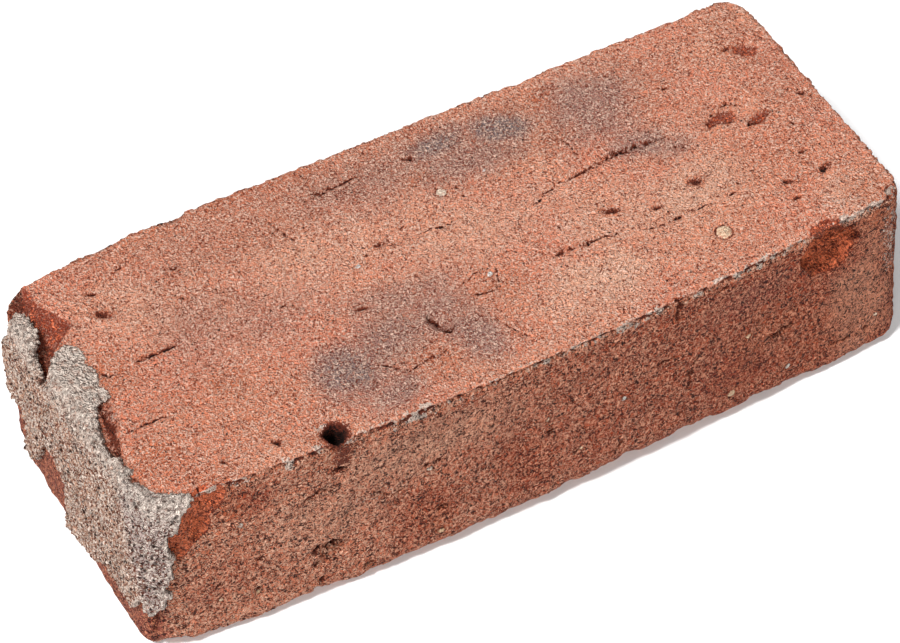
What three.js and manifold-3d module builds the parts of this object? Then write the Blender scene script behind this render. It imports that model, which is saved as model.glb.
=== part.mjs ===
// A reclaimed hand-moulded clay brick, lying on its bed, with the remnant of an old
// mortar joint still stuck to one header. Millimetres, +Z up, origin under the middle.
//
// X runs along the brick: the header at -X carries the mortar.
// Y runs across it: the stretcher face at -Y is the bowed one.
import * as THREE from 'three';
import { mergeVertices } from 'three/addons/utils/BufferGeometryUtils.js';
import Module from 'manifold-3d';

// ---------------------------------------------------------------- driving dimensions

const BRICK = {
  length: 233.7, // at mid height
  width: 92, // across the headers
  thickness: 61,
  bow: 5.5, // how far the front stretcher face bellies out at mid length
  taper: 1.2, // the back stretcher face draws in by this much at each header
  headBatter: 4, // how far the mortared header leans out from the upper bed to the lower
  tailBatter: 2,
  bottomArris: 5, // wear radius along the lower bed at either end
  bottomWear: 4.5, // what heavier wear adds to it past mid length
  bottomWearAt: 155, // how far from the mortared header that wear is heaviest
  bottomWearReach: 85,
  topArris: 4,
  headArris: 8.5, // wear radius of the upper arris over the front of the mortared header
  headBackArris: 4.5, // the same over its back
  headReach: 20, // how far along the brick that heavier wear runs out
  arrisWander: 0.6, // how far the worn arrises wander in and out
  arrisWanderScale: 9,
  faceWander: 0.4, // unevenness of the four upright faces
  faceWanderScale: 19,
  wearVariation: 0.35, // how much the arris radii swell and shrink along their way
  wearScale: 23,
};

// Wear radius of the upright arrises, seen in plan.
const CORNER = { headFront: 13, headBack: 9, tailFront: 9, tailBack: 13 };

const MORTAR = {
  header: 3.2, // thickness on the header
  heel: 1.6, // how much thicker it is at the back of the header
  wrap: 2.4, // thickness where it laps round onto the stretcher face
  lumps: 0.45, // height of the lumps on its outside
  lumpScale: 6,
  crispness: 0.85, // its outer arrises as a share of the clay's worn ones
  clearance: 0.33, // gap all over between mortar and clay
  shoulder: 7, // how far past the header plane its patch is pressed
  cheek: 10, // how far in from the stretcher face the lap is pressed
};

const MESH_STEP = 6.5; // point spacing along the plan outline
const UPRIGHT_RINGS = 4;
const ROLL_RINGS = 3; // rings in each rolled arris
const OVERCUT = 4; // how far a tool stands outside what it cuts
const TEAR_PIECES = 12;
const SCOOP_ROUGHNESS = 0.16; // as a share of the scoop's size
const PATCH_POINTS = 72; // points round the outline of a mortar patch

const CLAY = { color: 0xb5725a, roughness: 0.93, metalness: 0 };
const LIME = { color: 0xb9aea2, roughness: 0.97, metalness: 0 };

// The planes that the places below are measured from.
const HEAD = 0;
const TAIL = BRICK.length;
const FRONT = -BRICK.width / 2;
const BACK = BRICK.width / 2;
const TOP = BRICK.thickness;

/** How far the bow has swelled at a place along the brick, from 0 at the headers to 1. */
const belly = (x) => 1 - (2 * (x / TAIL) - 1) ** 2;

/** A point measured from the bowed front face: along, in from the face, above the bed. */
const onFront = (x, inward, z) => [x, FRONT - BRICK.bow * belly(x) + inward, z];

// Knocks and voids in the clay, each an uneven scoop with its middle at `at`.
const SCOOPS = [
  { name: 'head back corner chip', at: [HEAD, BACK - 22, TOP + 4], size: [13, 17, 12], turn: 0.15 },
  { name: 'head arris hollow', at: [HEAD + 3, FRONT + 31, TOP + 1], size: [5, 9, 6], turn: 0.05 },
  { name: 'head front corner chip', at: onFront(HEAD + 16, -1.5, TOP - 5), size: [8, 6, 15], turn: -0.2 },
  { name: 'arris crater', at: onFront(TAIL - 27, -2, TOP - 4), size: [10, 9, 11], turn: 0.1 },
  { name: 'crater outlier', at: onFront(TAIL - 15, -4, TOP + 2), size: [6, 7, 6], turn: 0.4 },
  { name: 'tail front corner knock', at: onFront(TAIL - 1, 0, TOP + 3), size: [9, 9, 8], turn: 0.5 },
  { name: 'stretcher void', at: onFront(HEAD + 51, 0, 17), size: [5, 6, 7], turn: 0.2 },
  { name: 'stretcher pocket', at: onFront(HEAD + 83, -1, 17), size: [2.6, 4.5, 7], turn: -0.3 },
  { name: 'lower arris spall', at: onFront(HEAD + 117, -2, -1), size: [15, 8, 6], turn: 0 },
  { name: 'lower arris nick', at: onFront(TAIL - 46, -1, -1), size: [9, 7, 6], turn: 0.2 },
  { name: 'back arris nick', at: [HEAD + 47, BACK + 2, TOP + 2], size: [7, 5, 5], turn: 0 },
  { name: 'bed pit', at: [TAIL - 134, -24, TOP + 1.5], size: [4.2, 2.4, 4], turn: 0.6 },
];

// The stick hole beside the front arris.
const HOLE = { at: onFront(HEAD + 55, 5.5, TOP), radius: 2.5, depth: 11, lean: 0.3 };

// Tears left in the upper bed when the clay was struck off, from end to end.
const TEARS = [
  { from: [TAIL - 90, 2], over: [TAIL - 70, 7], to: [TAIL - 44, 4], width: 2.6, depth: 2.4 },
  { from: [TAIL - 97, -19], over: [TAIL - 70, -22], to: [TAIL - 48, -24], width: 1.7, depth: 1.3 },
];

// What is left of the mortar on the header, as shares of its width from the front, of its height.
const HEADER_PATCH = [
  [0, 1.03], [0.07, 1.01], [0.14, 0.98], [0.22, 0.99], [0.26, 1.01], [0.3, 0.95], [0.36, 0.94],
  [0.42, 0.98], [0.47, 1.04], [0.6, 1.05], [0.7, 1.03], [0.72, 0.98], [0.7, 0.9], [0.74, 0.81],
  [0.79, 0.89], [0.81, 0.96], [0.87, 0.99], [0.94, 0.96], [0.98, 0.86], [0.99, 0.6], [0.97, 0.43],
  [0.9, 0.4], [0.86, 0.26], [0.84, 0.11], [0.81, 0.12], [0.79, 0.3], [0.74, 0.4], [0.67, 0.4],
  [0.6, 0.33], [0.59, 0.15], [0.56, 0.07], [0.51, 0.06], [0.43, 0.13], [0.34, 0.16], [0.24, 0.2],
  [0.12, 0.27], [0, 0.28],
];

// What laps onto the stretcher face: along from the header, and as a share of the height.
const WRAP_PATCH = [
  [4, 1.04], [9.5, 1.02], [13, 0.98], [10.5, 0.93], [8.5, 0.87], [6, 0.8], [5.8, 0.74], [7.2, 0.66],
  [6.8, 0.58], [5.7, 0.5], [5.6, 0.38], [3, 0.31], [-2, 0.26],
];

// ---------------------------------------------------------------- small helpers

const wasm = await Module();
wasm.setup();

/** Smooth wander between -1 and 1, made of three crossing waves. */
function wander(x, y, z, scale) {
  const a = Math.sin((x + 0.7 * y) / scale + 1.3);
  const b = Math.sin((y - 0.6 * z) / (0.61 * scale) + 4.1);
  const c = Math.sin((z + 0.9 * x) / (0.37 * scale) + 2.2);
  return (a + 0.7 * b + 0.5 * c) / 2.2;
}

function geometryOf(position, index) {
  const geometry = new THREE.BufferGeometry();
  geometry.setAttribute('position', new THREE.Float32BufferAttribute(position, 3));
  geometry.setIndex(index);
  return geometry;
}

function solidOf(geometry) {
  const bare = geometry.clone();
  bare.deleteAttribute('normal');
  bare.deleteAttribute('uv');
  const merged = mergeVertices(bare, 1e-4);
  return new wasm.Manifold(new wasm.Mesh({
    numProp: 3,
    vertProperties: Float32Array.from(merged.attributes.position.array),
    triVerts: Uint32Array.from(merged.index.array),
  }));
}

function meshOf(solid, name, finish) {
  const { vertProperties, triVerts } = solid.getMesh();
  const geometry = geometryOf(Array.from(vertProperties), Array.from(triVerts));
  geometry.computeVertexNormals();
  const mesh = new THREE.Mesh(geometry, new THREE.MeshStandardMaterial(finish));
  mesh.name = name;
  return mesh;
}

/** Joins rings of points, each as long as the next, into a closed body with flat fanned caps. */
function loft(rings) {
  const count = rings[0].length;
  const hub = (ring) => ring.reduce((sum, p) => sum.add(p), new THREE.Vector3()).divideScalar(count);
  const points = [...rings.flat(), hub(rings[0]), hub(rings.at(-1))];
  const [lowHub, highHub] = [points.length - 2, points.length - 1];
  const last = (rings.length - 1) * count;
  const index = [];
  for (let i = 0; i < count; i += 1) {
    const next = (i + 1) % count;
    for (let level = 0; level < last; level += count) {
      const [a, b] = [level + i, level + next];
      index.push(a, b, b + count, a, b + count, a + count);
    }
    index.push(next, i, lowHub, last + i, last + next, highHub);
  }
  return geometryOf(points.flatMap((p) => [p.x, p.y, p.z]), index);
}

// ---------------------------------------------------------------- the fired body

/** Plan of the brick at mid height, anticlockwise from the front of the -X header. */
function planOutline() {
  const back = BACK - BRICK.taper;
  const plan = new THREE.Path();
  const middle = (HEAD + TAIL) / 2;
  plan.moveTo(HEAD + CORNER.headFront, FRONT);
  plan.quadraticCurveTo(middle, FRONT - 2 * BRICK.bow, TAIL - CORNER.tailFront, FRONT);
  plan.quadraticCurveTo(TAIL, FRONT, TAIL, FRONT + CORNER.tailFront);
  plan.lineTo(TAIL, back - CORNER.tailBack);
  plan.quadraticCurveTo(TAIL, back, TAIL - CORNER.tailBack, back);
  plan.quadraticCurveTo(middle, back + 2 * BRICK.taper, HEAD + CORNER.headBack, back);
  plan.quadraticCurveTo(HEAD, back, HEAD, back - CORNER.headBack);
  plan.lineTo(HEAD, FRONT + CORNER.headFront);
  plan.quadraticCurveTo(HEAD, FRONT, HEAD + CORNER.headFront, FRONT);
  const points = plan.curves.flatMap((curve) => {
    const pieces = Math.max(4, Math.round(curve.getLength() / MESH_STEP));
    return curve.getSpacedPoints(pieces).slice(0, -1);
  });
  return points.map((p, i) => {
    const before = points.at(i - 1);
    const after = points[(i + 1) % points.length];
    const outward = new THREE.Vector2(after.y - before.y, before.x - after.x).normalize();
    return { p, outward };
  });
}

/**
 * The rings of the body from the lower bed up. Each has its share of the height between
 * the two rolled arrises, how far it rises into its arris, and its inset there, in radii.
 */
function ringLevels() {
  const rolled = Array.from({ length: ROLL_RINGS + 1 }, (_, i) => {
    const angle = (Math.PI / 2) * (i / ROLL_RINGS);
    return { rise: Math.cos(angle), inset: 1 - Math.sin(angle) };
  });
  const upright = Array.from({ length: UPRIGHT_RINGS - 1 }, (_, i) => (
    { share: (i + 1) / UPRIGHT_RINGS, rise: 0, inset: 0 }
  ));
  return [
    ...rolled.map((level) => ({ share: 0, ...level })),
    ...upright,
    ...rolled.toReversed().map((level) => ({ share: 1, ...level })),
  ];
}

/** Wear radius of the upper arris, which is heavier over the header that carries mortar. */
function upperArris(x, y) {
  const { lerp, smoothstep } = THREE.MathUtils;
  const overHeader = lerp(BRICK.headArris, BRICK.headBackArris, smoothstep(y, FRONT, BACK));
  return lerp(overHeader, BRICK.topArris, smoothstep(x, HEAD, HEAD + BRICK.headReach));
}

/** Wear radius of the lower arris, which is heaviest between mid length and the tail. */
function lowerArris(x) {
  const away = Math.abs(x - HEAD - BRICK.bottomWearAt);
  const near = 1 - THREE.MathUtils.smoothstep(away, 0, BRICK.bottomWearReach);
  return BRICK.bottomArris + BRICK.bottomWear * near;
}

/** How far a header stands out at a height, against its own place at mid height. */
function batter(outward, z) {
  const lean = outward.x < 0 ? BRICK.headBatter : BRICK.tailBatter;
  return lean * outward.x ** 2 * (0.5 - z / TOP);
}

/**
 * The brick's worn form, or the same form grown outward.
 * grow(outward, x, y, z) gives the thickness added along the plan's outward direction,
 * lift the thickness added over the rolled arrises, and arrisScale sets their radii
 * against the brick's own.
 */
function brickForm(grow, lift = 0, arrisScale = 1) {
  const outline = planOutline();
  const rings = ringLevels().map(({ share, rise, inset }) => outline.map(({ p, outward }) => {
    const wear = arrisScale * (1 + BRICK.wearVariation * wander(p.x, p.y, 0, BRICK.wearScale));
    const low = lowerArris(p.x) * wear;
    const high = upperArris(p.x, p.y) * wear;
    const radius = share < 0.5 ? low : high;
    const upright = low + (BRICK.thickness - high - low) * share;
    const z = share < 0.5 ? upright - (low + lift) * rise : upright + (high + lift) * rise;
    const uneven = BRICK.faceWander * (wander(p.x, p.y, z, BRICK.faceWanderScale) - 1);
    const ragged = BRICK.arrisWander * inset * (wander(p.x, p.y, z, BRICK.arrisWanderScale) - 1);
    const out = grow(outward, p.x, p.y, z) + batter(outward, z) + uneven + ragged - radius * inset;
    return new THREE.Vector3(p.x + outward.x * out, p.y + outward.y * out, z);
  }));
  return solidOf(loft(rings));
}

/** An uneven egg-shaped tool, which leaves a broken, hollow scar. */
function scoop({ at, size, turn }) {
  const egg = new THREE.IcosahedronGeometry(1, 3);
  const points = egg.attributes.position;
  const v = new THREE.Vector3();
  for (let i = 0; i < points.count; i += 1) {
    v.fromBufferAttribute(points, i);
    const swell = 1 + SCOOP_ROUGHNESS * wander(2 * v.x + at[0], 2 * v.y, 2 * v.z, 1);
    v.set(v.x * size[0] * swell, v.y * size[1] * swell, v.z * size[2] * swell);
    points.setXYZ(i, v.x, v.y, v.z);
  }
  egg.rotateY(turn);
  egg.rotateZ(turn);
  egg.translate(at[0], at[1], at[2]);
  return solidOf(egg);
}

function stickHole() {
  const { at, radius, depth, lean } = HOLE;
  const bore = new THREE.CylinderGeometry(radius, 0.7 * radius, 2 * depth, 10);
  bore.rotateX(Math.PI / 2 + lean);
  bore.translate(at[0], at[1], at[2]);
  return solidOf(bore);
}

/** A narrow furrow along a curve, widest in the middle and run out to nothing. */
function tear({ from, over, to, width, depth }) {
  const path = new THREE.QuadraticBezierCurve(
    new THREE.Vector2(...from),
    new THREE.Vector2(...over),
    new THREE.Vector2(...to),
  );
  const position = [];
  const index = [];
  for (let i = 0; i <= TEAR_PIECES; i += 1) {
    const t = (i + 0.3) / (TEAR_PIECES + 0.6);
    const p = path.getPoint(t);
    const along = path.getTangent(t);
    const swell = Math.sin(Math.PI * t) ** 0.6;
    const half = (width / 2) * swell * (1 + 0.3 * wander(p.x, p.y, 0, width));
    const side = [-along.y * half, along.x * half];
    position.push(p.x - side[0], p.y - side[1], TOP);
    position.push(p.x, p.y, TOP - depth * swell);
    position.push(p.x + side[0], p.y + side[1], TOP);
    position.push(p.x, p.y, TOP + OVERCUT);
  }
  for (let i = 0; i < TEAR_PIECES; i += 1) {
    for (let k = 0; k < 4; k += 1) {
      const a = i * 4 + k;
      const b = i * 4 + ((k + 1) % 4);
      index.push(a, b + 4, a + 4, a, b, b + 4);
    }
  }
  const end = TEAR_PIECES * 4;
  index.push(0, 2, 1, 0, 3, 2);
  index.push(end, end + 1, end + 2, end, end + 2, end + 3);
  return solidOf(geometryOf(position, index));
}

function firedBrick() {
  const cutters = [...SCOOPS.map(scoop), stickHole(), ...TEARS.map(tear)];
  return cutters.reduce((body, cutter) => body.subtract(cutter), brickForm(() => 0));
}

// ---------------------------------------------------------------- the old mortar

/** Closed curve through the points, pressed through the part along one axis. */
function cookie(points, depth) {
  const knots = points.map(([u, v]) => new THREE.Vector3(u, v, 0));
  const curve = new THREE.CatmullRomCurve3(knots, true, 'centripetal');
  const outline = curve.getSpacedPoints(PATCH_POINTS).slice(0, -1);
  const shape = new THREE.Shape(outline.map((p) => new THREE.Vector2(p.x, p.y)));
  return new THREE.ExtrudeGeometry(shape, { depth, bevelEnabled: false });
}

function headerPatch() {
  const across = (share) => THREE.MathUtils.lerp(FRONT, BACK, share);
  const sideways = FRONT - MORTAR.wrap - OVERCUT;
  const outline = HEADER_PATCH.map(([share, up]) => [share ? across(share) : sideways, up * TOP]);
  const outside = MORTAR.header + OVERCUT;
  const press = cookie(outline, outside + MORTAR.shoulder);
  press.rotateX(Math.PI / 2);
  press.rotateZ(Math.PI / 2);
  press.translate(HEAD - outside, 0, 0);
  return solidOf(press);
}

function wrapPatch() {
  const outer = HEAD - MORTAR.header - OVERCUT;
  const lap = WRAP_PATCH.map(([along, up]) => [HEAD + along, up * TOP]);
  const [top, foot] = [lap[0][1], lap.at(-1)[1]];
  const outside = MORTAR.wrap + OVERCUT;
  const press = cookie([[outer, top], ...lap, [outer, foot]], outside + MORTAR.cheek);
  press.rotateX(Math.PI / 2);
  press.translate(0, FRONT + MORTAR.cheek, 0);
  return solidOf(press);
}

function mortarRemnant() {
  const { header, heel, wrap, lumps, lumpScale, clearance, crispness } = MORTAR;
  const crust = (outward, x, y, z) => {
    const onHeader = Math.max(0, -outward.x);
    const onFace = Math.max(0, -outward.y);
    const atBack = heel * THREE.MathUtils.smoothstep(y, 0, BACK);
    const full = (header + atBack) * onHeader ** 2 + wrap * onFace ** 2;
    return full + lumps * (wander(x, y, z, lumpScale) - 1);
  };
  const blank = brickForm(crust, 0, crispness);
  const seat = brickForm(() => clearance, clearance);
  return blank.subtract(seat).intersect(headerPatch().add(wrapPatch()));
}

// ---------------------------------------------------------------- the part

const brick = meshOf(firedBrick(), 'brick', CLAY);
const mortar = meshOf(mortarRemnant(), 'mortar_remnant', LIME);

const group = new THREE.Group();
group.add(brick, mortar);
const bounds = new THREE.Box3().setFromObject(group);
const middle = bounds.getCenter(new THREE.Vector3());
group.position.set(-middle.x, -middle.y, -bounds.min.z);

export default group;
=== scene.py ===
"""Looks of a reclaimed, hand-moulded clay brick with a crust of old mortar on one header.

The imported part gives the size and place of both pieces. This script makes the surfaces
that it leaves plain: worn arrises, broken corners, pits, tears and grit in the fired
clay, and the ragged sandy crust of the mortar. Lengths are millimetres until a mesh is
made, when they become metres in the part's own frame.
"""

from __future__ import annotations

import logging
import math
from dataclasses import dataclass
from enum import Enum
from typing import Callable, ClassVar, Sequence

import bmesh
import bpy
import numpy as np
from mathutils import Matrix, Vector

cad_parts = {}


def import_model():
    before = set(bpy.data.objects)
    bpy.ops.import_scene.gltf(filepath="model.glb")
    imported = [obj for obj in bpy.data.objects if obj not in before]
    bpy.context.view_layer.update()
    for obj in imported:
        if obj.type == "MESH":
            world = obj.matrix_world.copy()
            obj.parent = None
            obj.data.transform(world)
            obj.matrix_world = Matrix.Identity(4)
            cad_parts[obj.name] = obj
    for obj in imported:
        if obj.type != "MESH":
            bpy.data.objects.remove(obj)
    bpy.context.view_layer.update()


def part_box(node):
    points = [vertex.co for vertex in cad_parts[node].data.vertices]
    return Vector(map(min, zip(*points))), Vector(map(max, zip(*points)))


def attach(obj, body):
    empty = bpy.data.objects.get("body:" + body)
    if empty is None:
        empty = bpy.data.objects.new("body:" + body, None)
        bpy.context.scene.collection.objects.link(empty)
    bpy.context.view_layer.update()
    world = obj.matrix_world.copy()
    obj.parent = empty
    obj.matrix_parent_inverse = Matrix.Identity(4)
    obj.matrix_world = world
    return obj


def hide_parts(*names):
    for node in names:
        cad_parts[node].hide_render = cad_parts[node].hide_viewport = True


MM = 0.001
OFF_FLOOR = 0.02  # millimetres that the meshes stay above the lowest level of the clay

log = logging.getLogger("brick")

Array = np.ndarray
Node = bpy.types.Node
Socket = bpy.types.NodeSocket
Tree = bpy.types.NodeTree
Pair = tuple[float, float]
Spot = tuple[float, float]
Place = tuple[float, float, float]
Line = tuple[Spot, ...]
Colour = tuple[float, float, float, float]


# --------------------------------------------------------------------------- noise


def lattice(cell: Array, seed: int) -> Array:
    """Give each whole-numbered cell of space its own fixed number.

    Args:
        cell: (..., 3) whole numbers.
        seed: Picks one of many unrelated patterns.

    Returns:
        Numbers from 0 to 1, one for each cell.
    """
    c = cell.astype(np.int64).astype(np.uint64)
    with np.errstate(over="ignore"):
        h = c[..., 0] * np.uint64(0x9E3779B97F4A7C15) ^ c[..., 1] * np.uint64(0xC2B2AE3D27D4EB4F)
        h ^= c[..., 2] * np.uint64(0x165667B19E3779F9) ^ np.uint64(seed * 7919 + 17)
        h ^= h >> np.uint64(29)
        h *= np.uint64(0xBF58476D1CE4E5B9)
        h ^= h >> np.uint64(32)
        h *= np.uint64(0x94D049BB133111EB)
        h ^= h >> np.uint64(31)
    return (h >> np.uint64(40)).astype(float) / float(1 << 24)


def soft_noise(points: Array, size: float, seed: int) -> Array:
    """Smooth noise whose lumps are about `size` across.

    Args:
        points: (n, 3) places.
        size: Width of a lump, in the points' own unit.
        seed: Picks the pattern.

    Returns:
        (n,) values from -1 to 1, seldom near either end.
    """
    p = points / size
    base = np.floor(p)
    f = p - base
    w = f * f * f * (f * (6 * f - 15) + 10)
    total = np.zeros(len(p))
    for corner in np.ndindex(2, 2, 2):
        offset = np.array(corner)
        weight = np.prod(np.where(offset == 1, w, 1 - w), axis=1)
        total += weight * lattice(base + offset, seed)
    return 2 * total - 1


def layered_noise(points: Array, size: float, seed: int, octaves: int = 3, keep: float = 0.5) -> Array:
    """Sum of ever finer soft noise, each layer half as wide and `keep` as strong.

    Args:
        points: (n, 3) places.
        size: Width of the widest lumps.
        seed: Picks the pattern.
        octaves: Number of layers.
        keep: Strength of each layer against the one before.

    Returns:
        (n,) values from about -1 to 1.
    """
    total = np.zeros(len(points))
    strength, reach = 1.0, 0.0
    for layer in range(octaves):
        total += strength * soft_noise(points, size / 2**layer, seed + 31 * layer)
        reach += strength
        strength *= keep
    return total / reach


@dataclass(frozen=True)
class Rough:
    """One unevenness of a surface or of a border.

    Attributes:
        height: How strong it is.
        width: Width of its widest lumps.
        seed: Picks its pattern.
        layers: How many layers it has, each half as wide as the one before.
        keep: Strength of each layer against the one before.
    """

    height: float
    width: float
    seed: int
    layers: int = 3
    keep: float = 0.5

    def at(self, points: Array) -> Array:
        """Its value at each of (n, 3) places, from about -height to height."""
        return self.height * layered_noise(points, self.width, self.seed, self.layers, self.keep)


def grains(points: Array, size: float, seed: int) -> tuple[Array, Array]:
    """Distance to the nearest of many scattered seeds, one in each cell of space.

    Args:
        points: (n, 3) places.
        size: Spacing of the seeds.
        seed: Picks the pattern.

    Returns:
        (n,) distances in units of `size`, and (n,) fixed numbers from 0 to 1 that tell
        one grain from the next.
    """
    p = points / size
    base = np.floor(p)
    nearest = np.full(len(p), np.inf)
    name = np.zeros(len(p))
    for corner in np.ndindex(3, 3, 3):
        cell = base + np.array(corner) - 1
        spot = np.stack([lattice(cell, seed + k) for k in range(3)], axis=1)
        gap = np.linalg.norm(cell + spot - p, axis=1)
        closer = gap < nearest
        nearest = np.where(closer, gap, nearest)
        name = np.where(closer, lattice(cell, seed + 5), name)
    return nearest, name


def smooth(low: float, high: float, value: Array) -> Array:
    """Go from 0 at `low` to 1 at `high` with soft ends."""
    t = np.clip((value - low) / (high - low), 0.0, 1.0)
    return t * t * (3 - 2 * t)


class Masks(dict):
    """Values from 0 to 1 for each point of a mesh, by name, for a finish to read."""

    def lay(self, key: str, values: Array) -> None:
        """Raise one mask to these values wherever it is lower."""
        self[key] = np.maximum(self[key], values)


# --------------------------------------------------------------------------- meshes


def read(items: bpy.types.bpy_prop_collection, key: str, width: int = 1, kind: type = np.float32) -> Array:
    """Read one property of all of a mesh's vertices, loops or faces.

    Args:
        items: The collection.
        key: Name of the property.
        width: How many numbers each item has.
        kind: Type of number.

    Returns:
        (n,) numbers, or (n, width) of them.
    """
    values = np.empty(len(items) * width, kind)
    items.foreach_get(key, values)
    return values if width == 1 else values.reshape(-1, width).astype(float)


def square_mesh(name: str, points: Array, quads: Array) -> bpy.types.Mesh:
    """Make a mesh of four-cornered faces.

    Args:
        name: Its name.
        points: (n, 3) places.
        quads: (m, 4) rings of point numbers.

    Returns:
        The mesh.
    """
    mesh = bpy.data.meshes.new(name)
    mesh.vertices.add(len(points))
    mesh.vertices.foreach_set("co", points.astype(np.float32).ravel())
    mesh.loops.add(quads.size)
    mesh.loops.foreach_set("vertex_index", quads.astype(np.int32).ravel())
    mesh.polygons.add(len(quads))
    mesh.polygons.foreach_set("loop_start", np.arange(0, quads.size, 4, dtype=np.int32))
    mesh.update(calc_edges=True)
    return mesh


def reshaped(mesh: bpy.types.Mesh, points: Array) -> Array:
    """Move a mesh's points and give the directions that they then face.

    Args:
        mesh: The mesh.
        points: (n, 3) new places.

    Returns:
        (n, 3) unit directions.
    """
    mesh.vertices.foreach_set("co", points.astype(np.float32).ravel())
    mesh.update()
    return read(mesh.vertices, "normal", 3)


def finished(mesh: bpy.types.Mesh, points: Array, masks: Masks, sheet: Array) -> bpy.types.Object:
    """Turn a mesh in millimetres into a smooth-shaded object in metres.

    Args:
        mesh: The mesh.
        points: (n, 3) last places of its points.
        masks: Its masks.
        sheet: (loops, 2) flat map.

    Returns:
        The new object, linked to the scene.
    """
    reshaped(mesh, points * MM)
    mesh.polygons.foreach_set("use_smooth", np.ones(len(mesh.polygons), bool))
    layer = mesh.uv_layers.new(name="OFBake")
    layer.uv.foreach_set("vector", sheet.astype(np.float32).ravel())
    for key, values in masks.items():
        layer = mesh.attributes.new(key, "FLOAT", "POINT")
        layer.data.foreach_set("value", np.clip(values, 0, 1).astype(np.float32))
    obj = bpy.data.objects.new(mesh.name, mesh)
    bpy.context.scene.collection.objects.link(obj)
    return obj


class Piece:
    """What both pieces share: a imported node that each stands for, and its material slot."""

    node: str
    slot: str

    def dress(self, obj: bpy.types.Object, material: bpy.types.Material) -> None:
        """Give the piece its finish, tell the frame what it is, and report it.

        Args:
            obj: Its object.
            material: Its finish.
        """
        obj.data.materials.append(material)
        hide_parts(self.node)
        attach(obj, "root")
        corners = read(obj.data.polygons, "loop_total", kind=np.int32)
        log.info("%s: %d faces, %d triangles", obj.name, len(corners), int((corners - 2).sum()))


class Side(Enum):
    """The six faces of a block, each as (axis it faces along, whether it is the far one)."""

    HEAD = (0, False)
    TAIL = (0, True)
    FRONT = (1, False)
    BACK = (1, True)
    LOWER_BED = (2, False)
    UPPER_BED = (2, True)


class BlockSkin:
    """The closed skin of a plain block, in squares that split where there is more to show.

    Its lowest corner is at the origin.
    """

    def __init__(self, span: Array, cell: float) -> None:
        """Lay squares on the six sides and merge the rows that two sides share.

        Args:
            span: Length, width and thickness of the block.
            cell: Side of a square.
        """
        self.span = span
        counts = np.maximum(2, np.round(span / cell)).astype(int)
        nodes, quads = [], []
        for side in Side:
            axis, far = side.value
            u, v = [a for a in range(3) if a != axis]
            iu, iv = np.meshgrid(np.arange(counts[u] + 1), np.arange(counts[v] + 1), indexing="ij")
            node = np.zeros(iu.shape + (3,), int)
            node[..., u], node[..., v] = iu, iv
            node[..., axis] = counts[axis] if far else 0
            index = sum(map(len, nodes)) + np.arange(iu.size).reshape(iu.shape)
            a, b, c, d = index[:-1, :-1], index[1:, :-1], index[1:, 1:], index[:-1, 1:]
            ring = (a, b, c, d) if far == (axis != 1) else (a, d, c, b)
            quads.append(np.stack([r.ravel() for r in ring], axis=1))
            nodes.append(node.reshape(-1, 3))
        merged, inverse = np.unique(np.concatenate(nodes), axis=0, return_inverse=True)
        mesh = square_mesh("plain_block", merged * span / counts, inverse.ravel()[np.concatenate(quads)])
        self.squares = bmesh.new()
        self.squares.from_mesh(mesh)
        bpy.data.meshes.remove(mesh)

    def split(self, wanted: Callable[[Array], Array]) -> None:
        """Split squares into four.

        Args:
            wanted: Tells, from their (n, 3) middles, which squares to split.
        """
        whole = [face for face in self.squares.faces if len(face.verts) == 4]
        middles = np.array([face.calc_center_median() for face in whole])
        chosen = [face for face, yes in zip(whole, wanted(middles)) if yes]
        edges = list({edge: None for face in chosen for edge in face.edges})
        bmesh.ops.subdivide_edges(self.squares, edges=edges, cuts=1, use_grid_fill=True)

    def mesh(self, name: str) -> bpy.types.Mesh:
        """Give the skin as a mesh in which no face has more than four corners.

        Args:
            name: Its name.

        Returns:
            The mesh.
        """
        many = [face for face in self.squares.faces if len(face.verts) > 4]
        bmesh.ops.triangulate(self.squares, faces=many)
        mesh = bpy.data.meshes.new(name)
        self.squares.to_mesh(mesh)
        self.squares.free()
        return mesh

    def flat_map(self, mesh: bpy.types.Mesh, margin: float = 3.0) -> Array:
        """Lay the six sides beside each other without overlaps.

        Args:
            mesh: The skin's mesh, still on the plain block.
            margin: Bare strip round each side.

        Returns:
            (loops, 2) places from 0 to 1.
        """
        length, width, height = self.span
        place = read(mesh.vertices, "co", 3)[read(mesh.loops, "vertex_index", kind=np.int32)]
        facing = read(mesh.polygons, "normal", 3)
        facing = np.repeat(facing, read(mesh.polygons, "loop_total", kind=np.int32), axis=0)
        sheet = np.zeros((len(place), 2))
        ends, top = length + 3 * margin, width + 3 * margin
        rows = {
            Side.UPPER_BED: (margin, margin),
            Side.LOWER_BED: (margin, top),
            Side.FRONT: (margin, top + width + 2 * margin),
            Side.BACK: (margin, top + width + height + 4 * margin),
            Side.HEAD: (ends, margin),
            Side.TAIL: (ends, top),
        }
        for side, corner in rows.items():
            axis, far = side.value
            mine = facing[:, axis] * (1 if far else -1) > 0.5
            across = (2, 1) if axis == 0 else tuple(a for a in range(3) if a != axis)
            sheet[mine] = place[mine][:, across] + np.array(corner)
        return sheet / max(ends + height + margin, top + width + 2 * height + 5 * margin)


# --------------------------------------------------------------------------- marks in the clay

OFF_FACE = 9.0  # how far from the level of its face a mark still acts
FADE = (1.55, 0.3)  # where a blot begins to show and where it is full, as shares of its half widths


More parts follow.
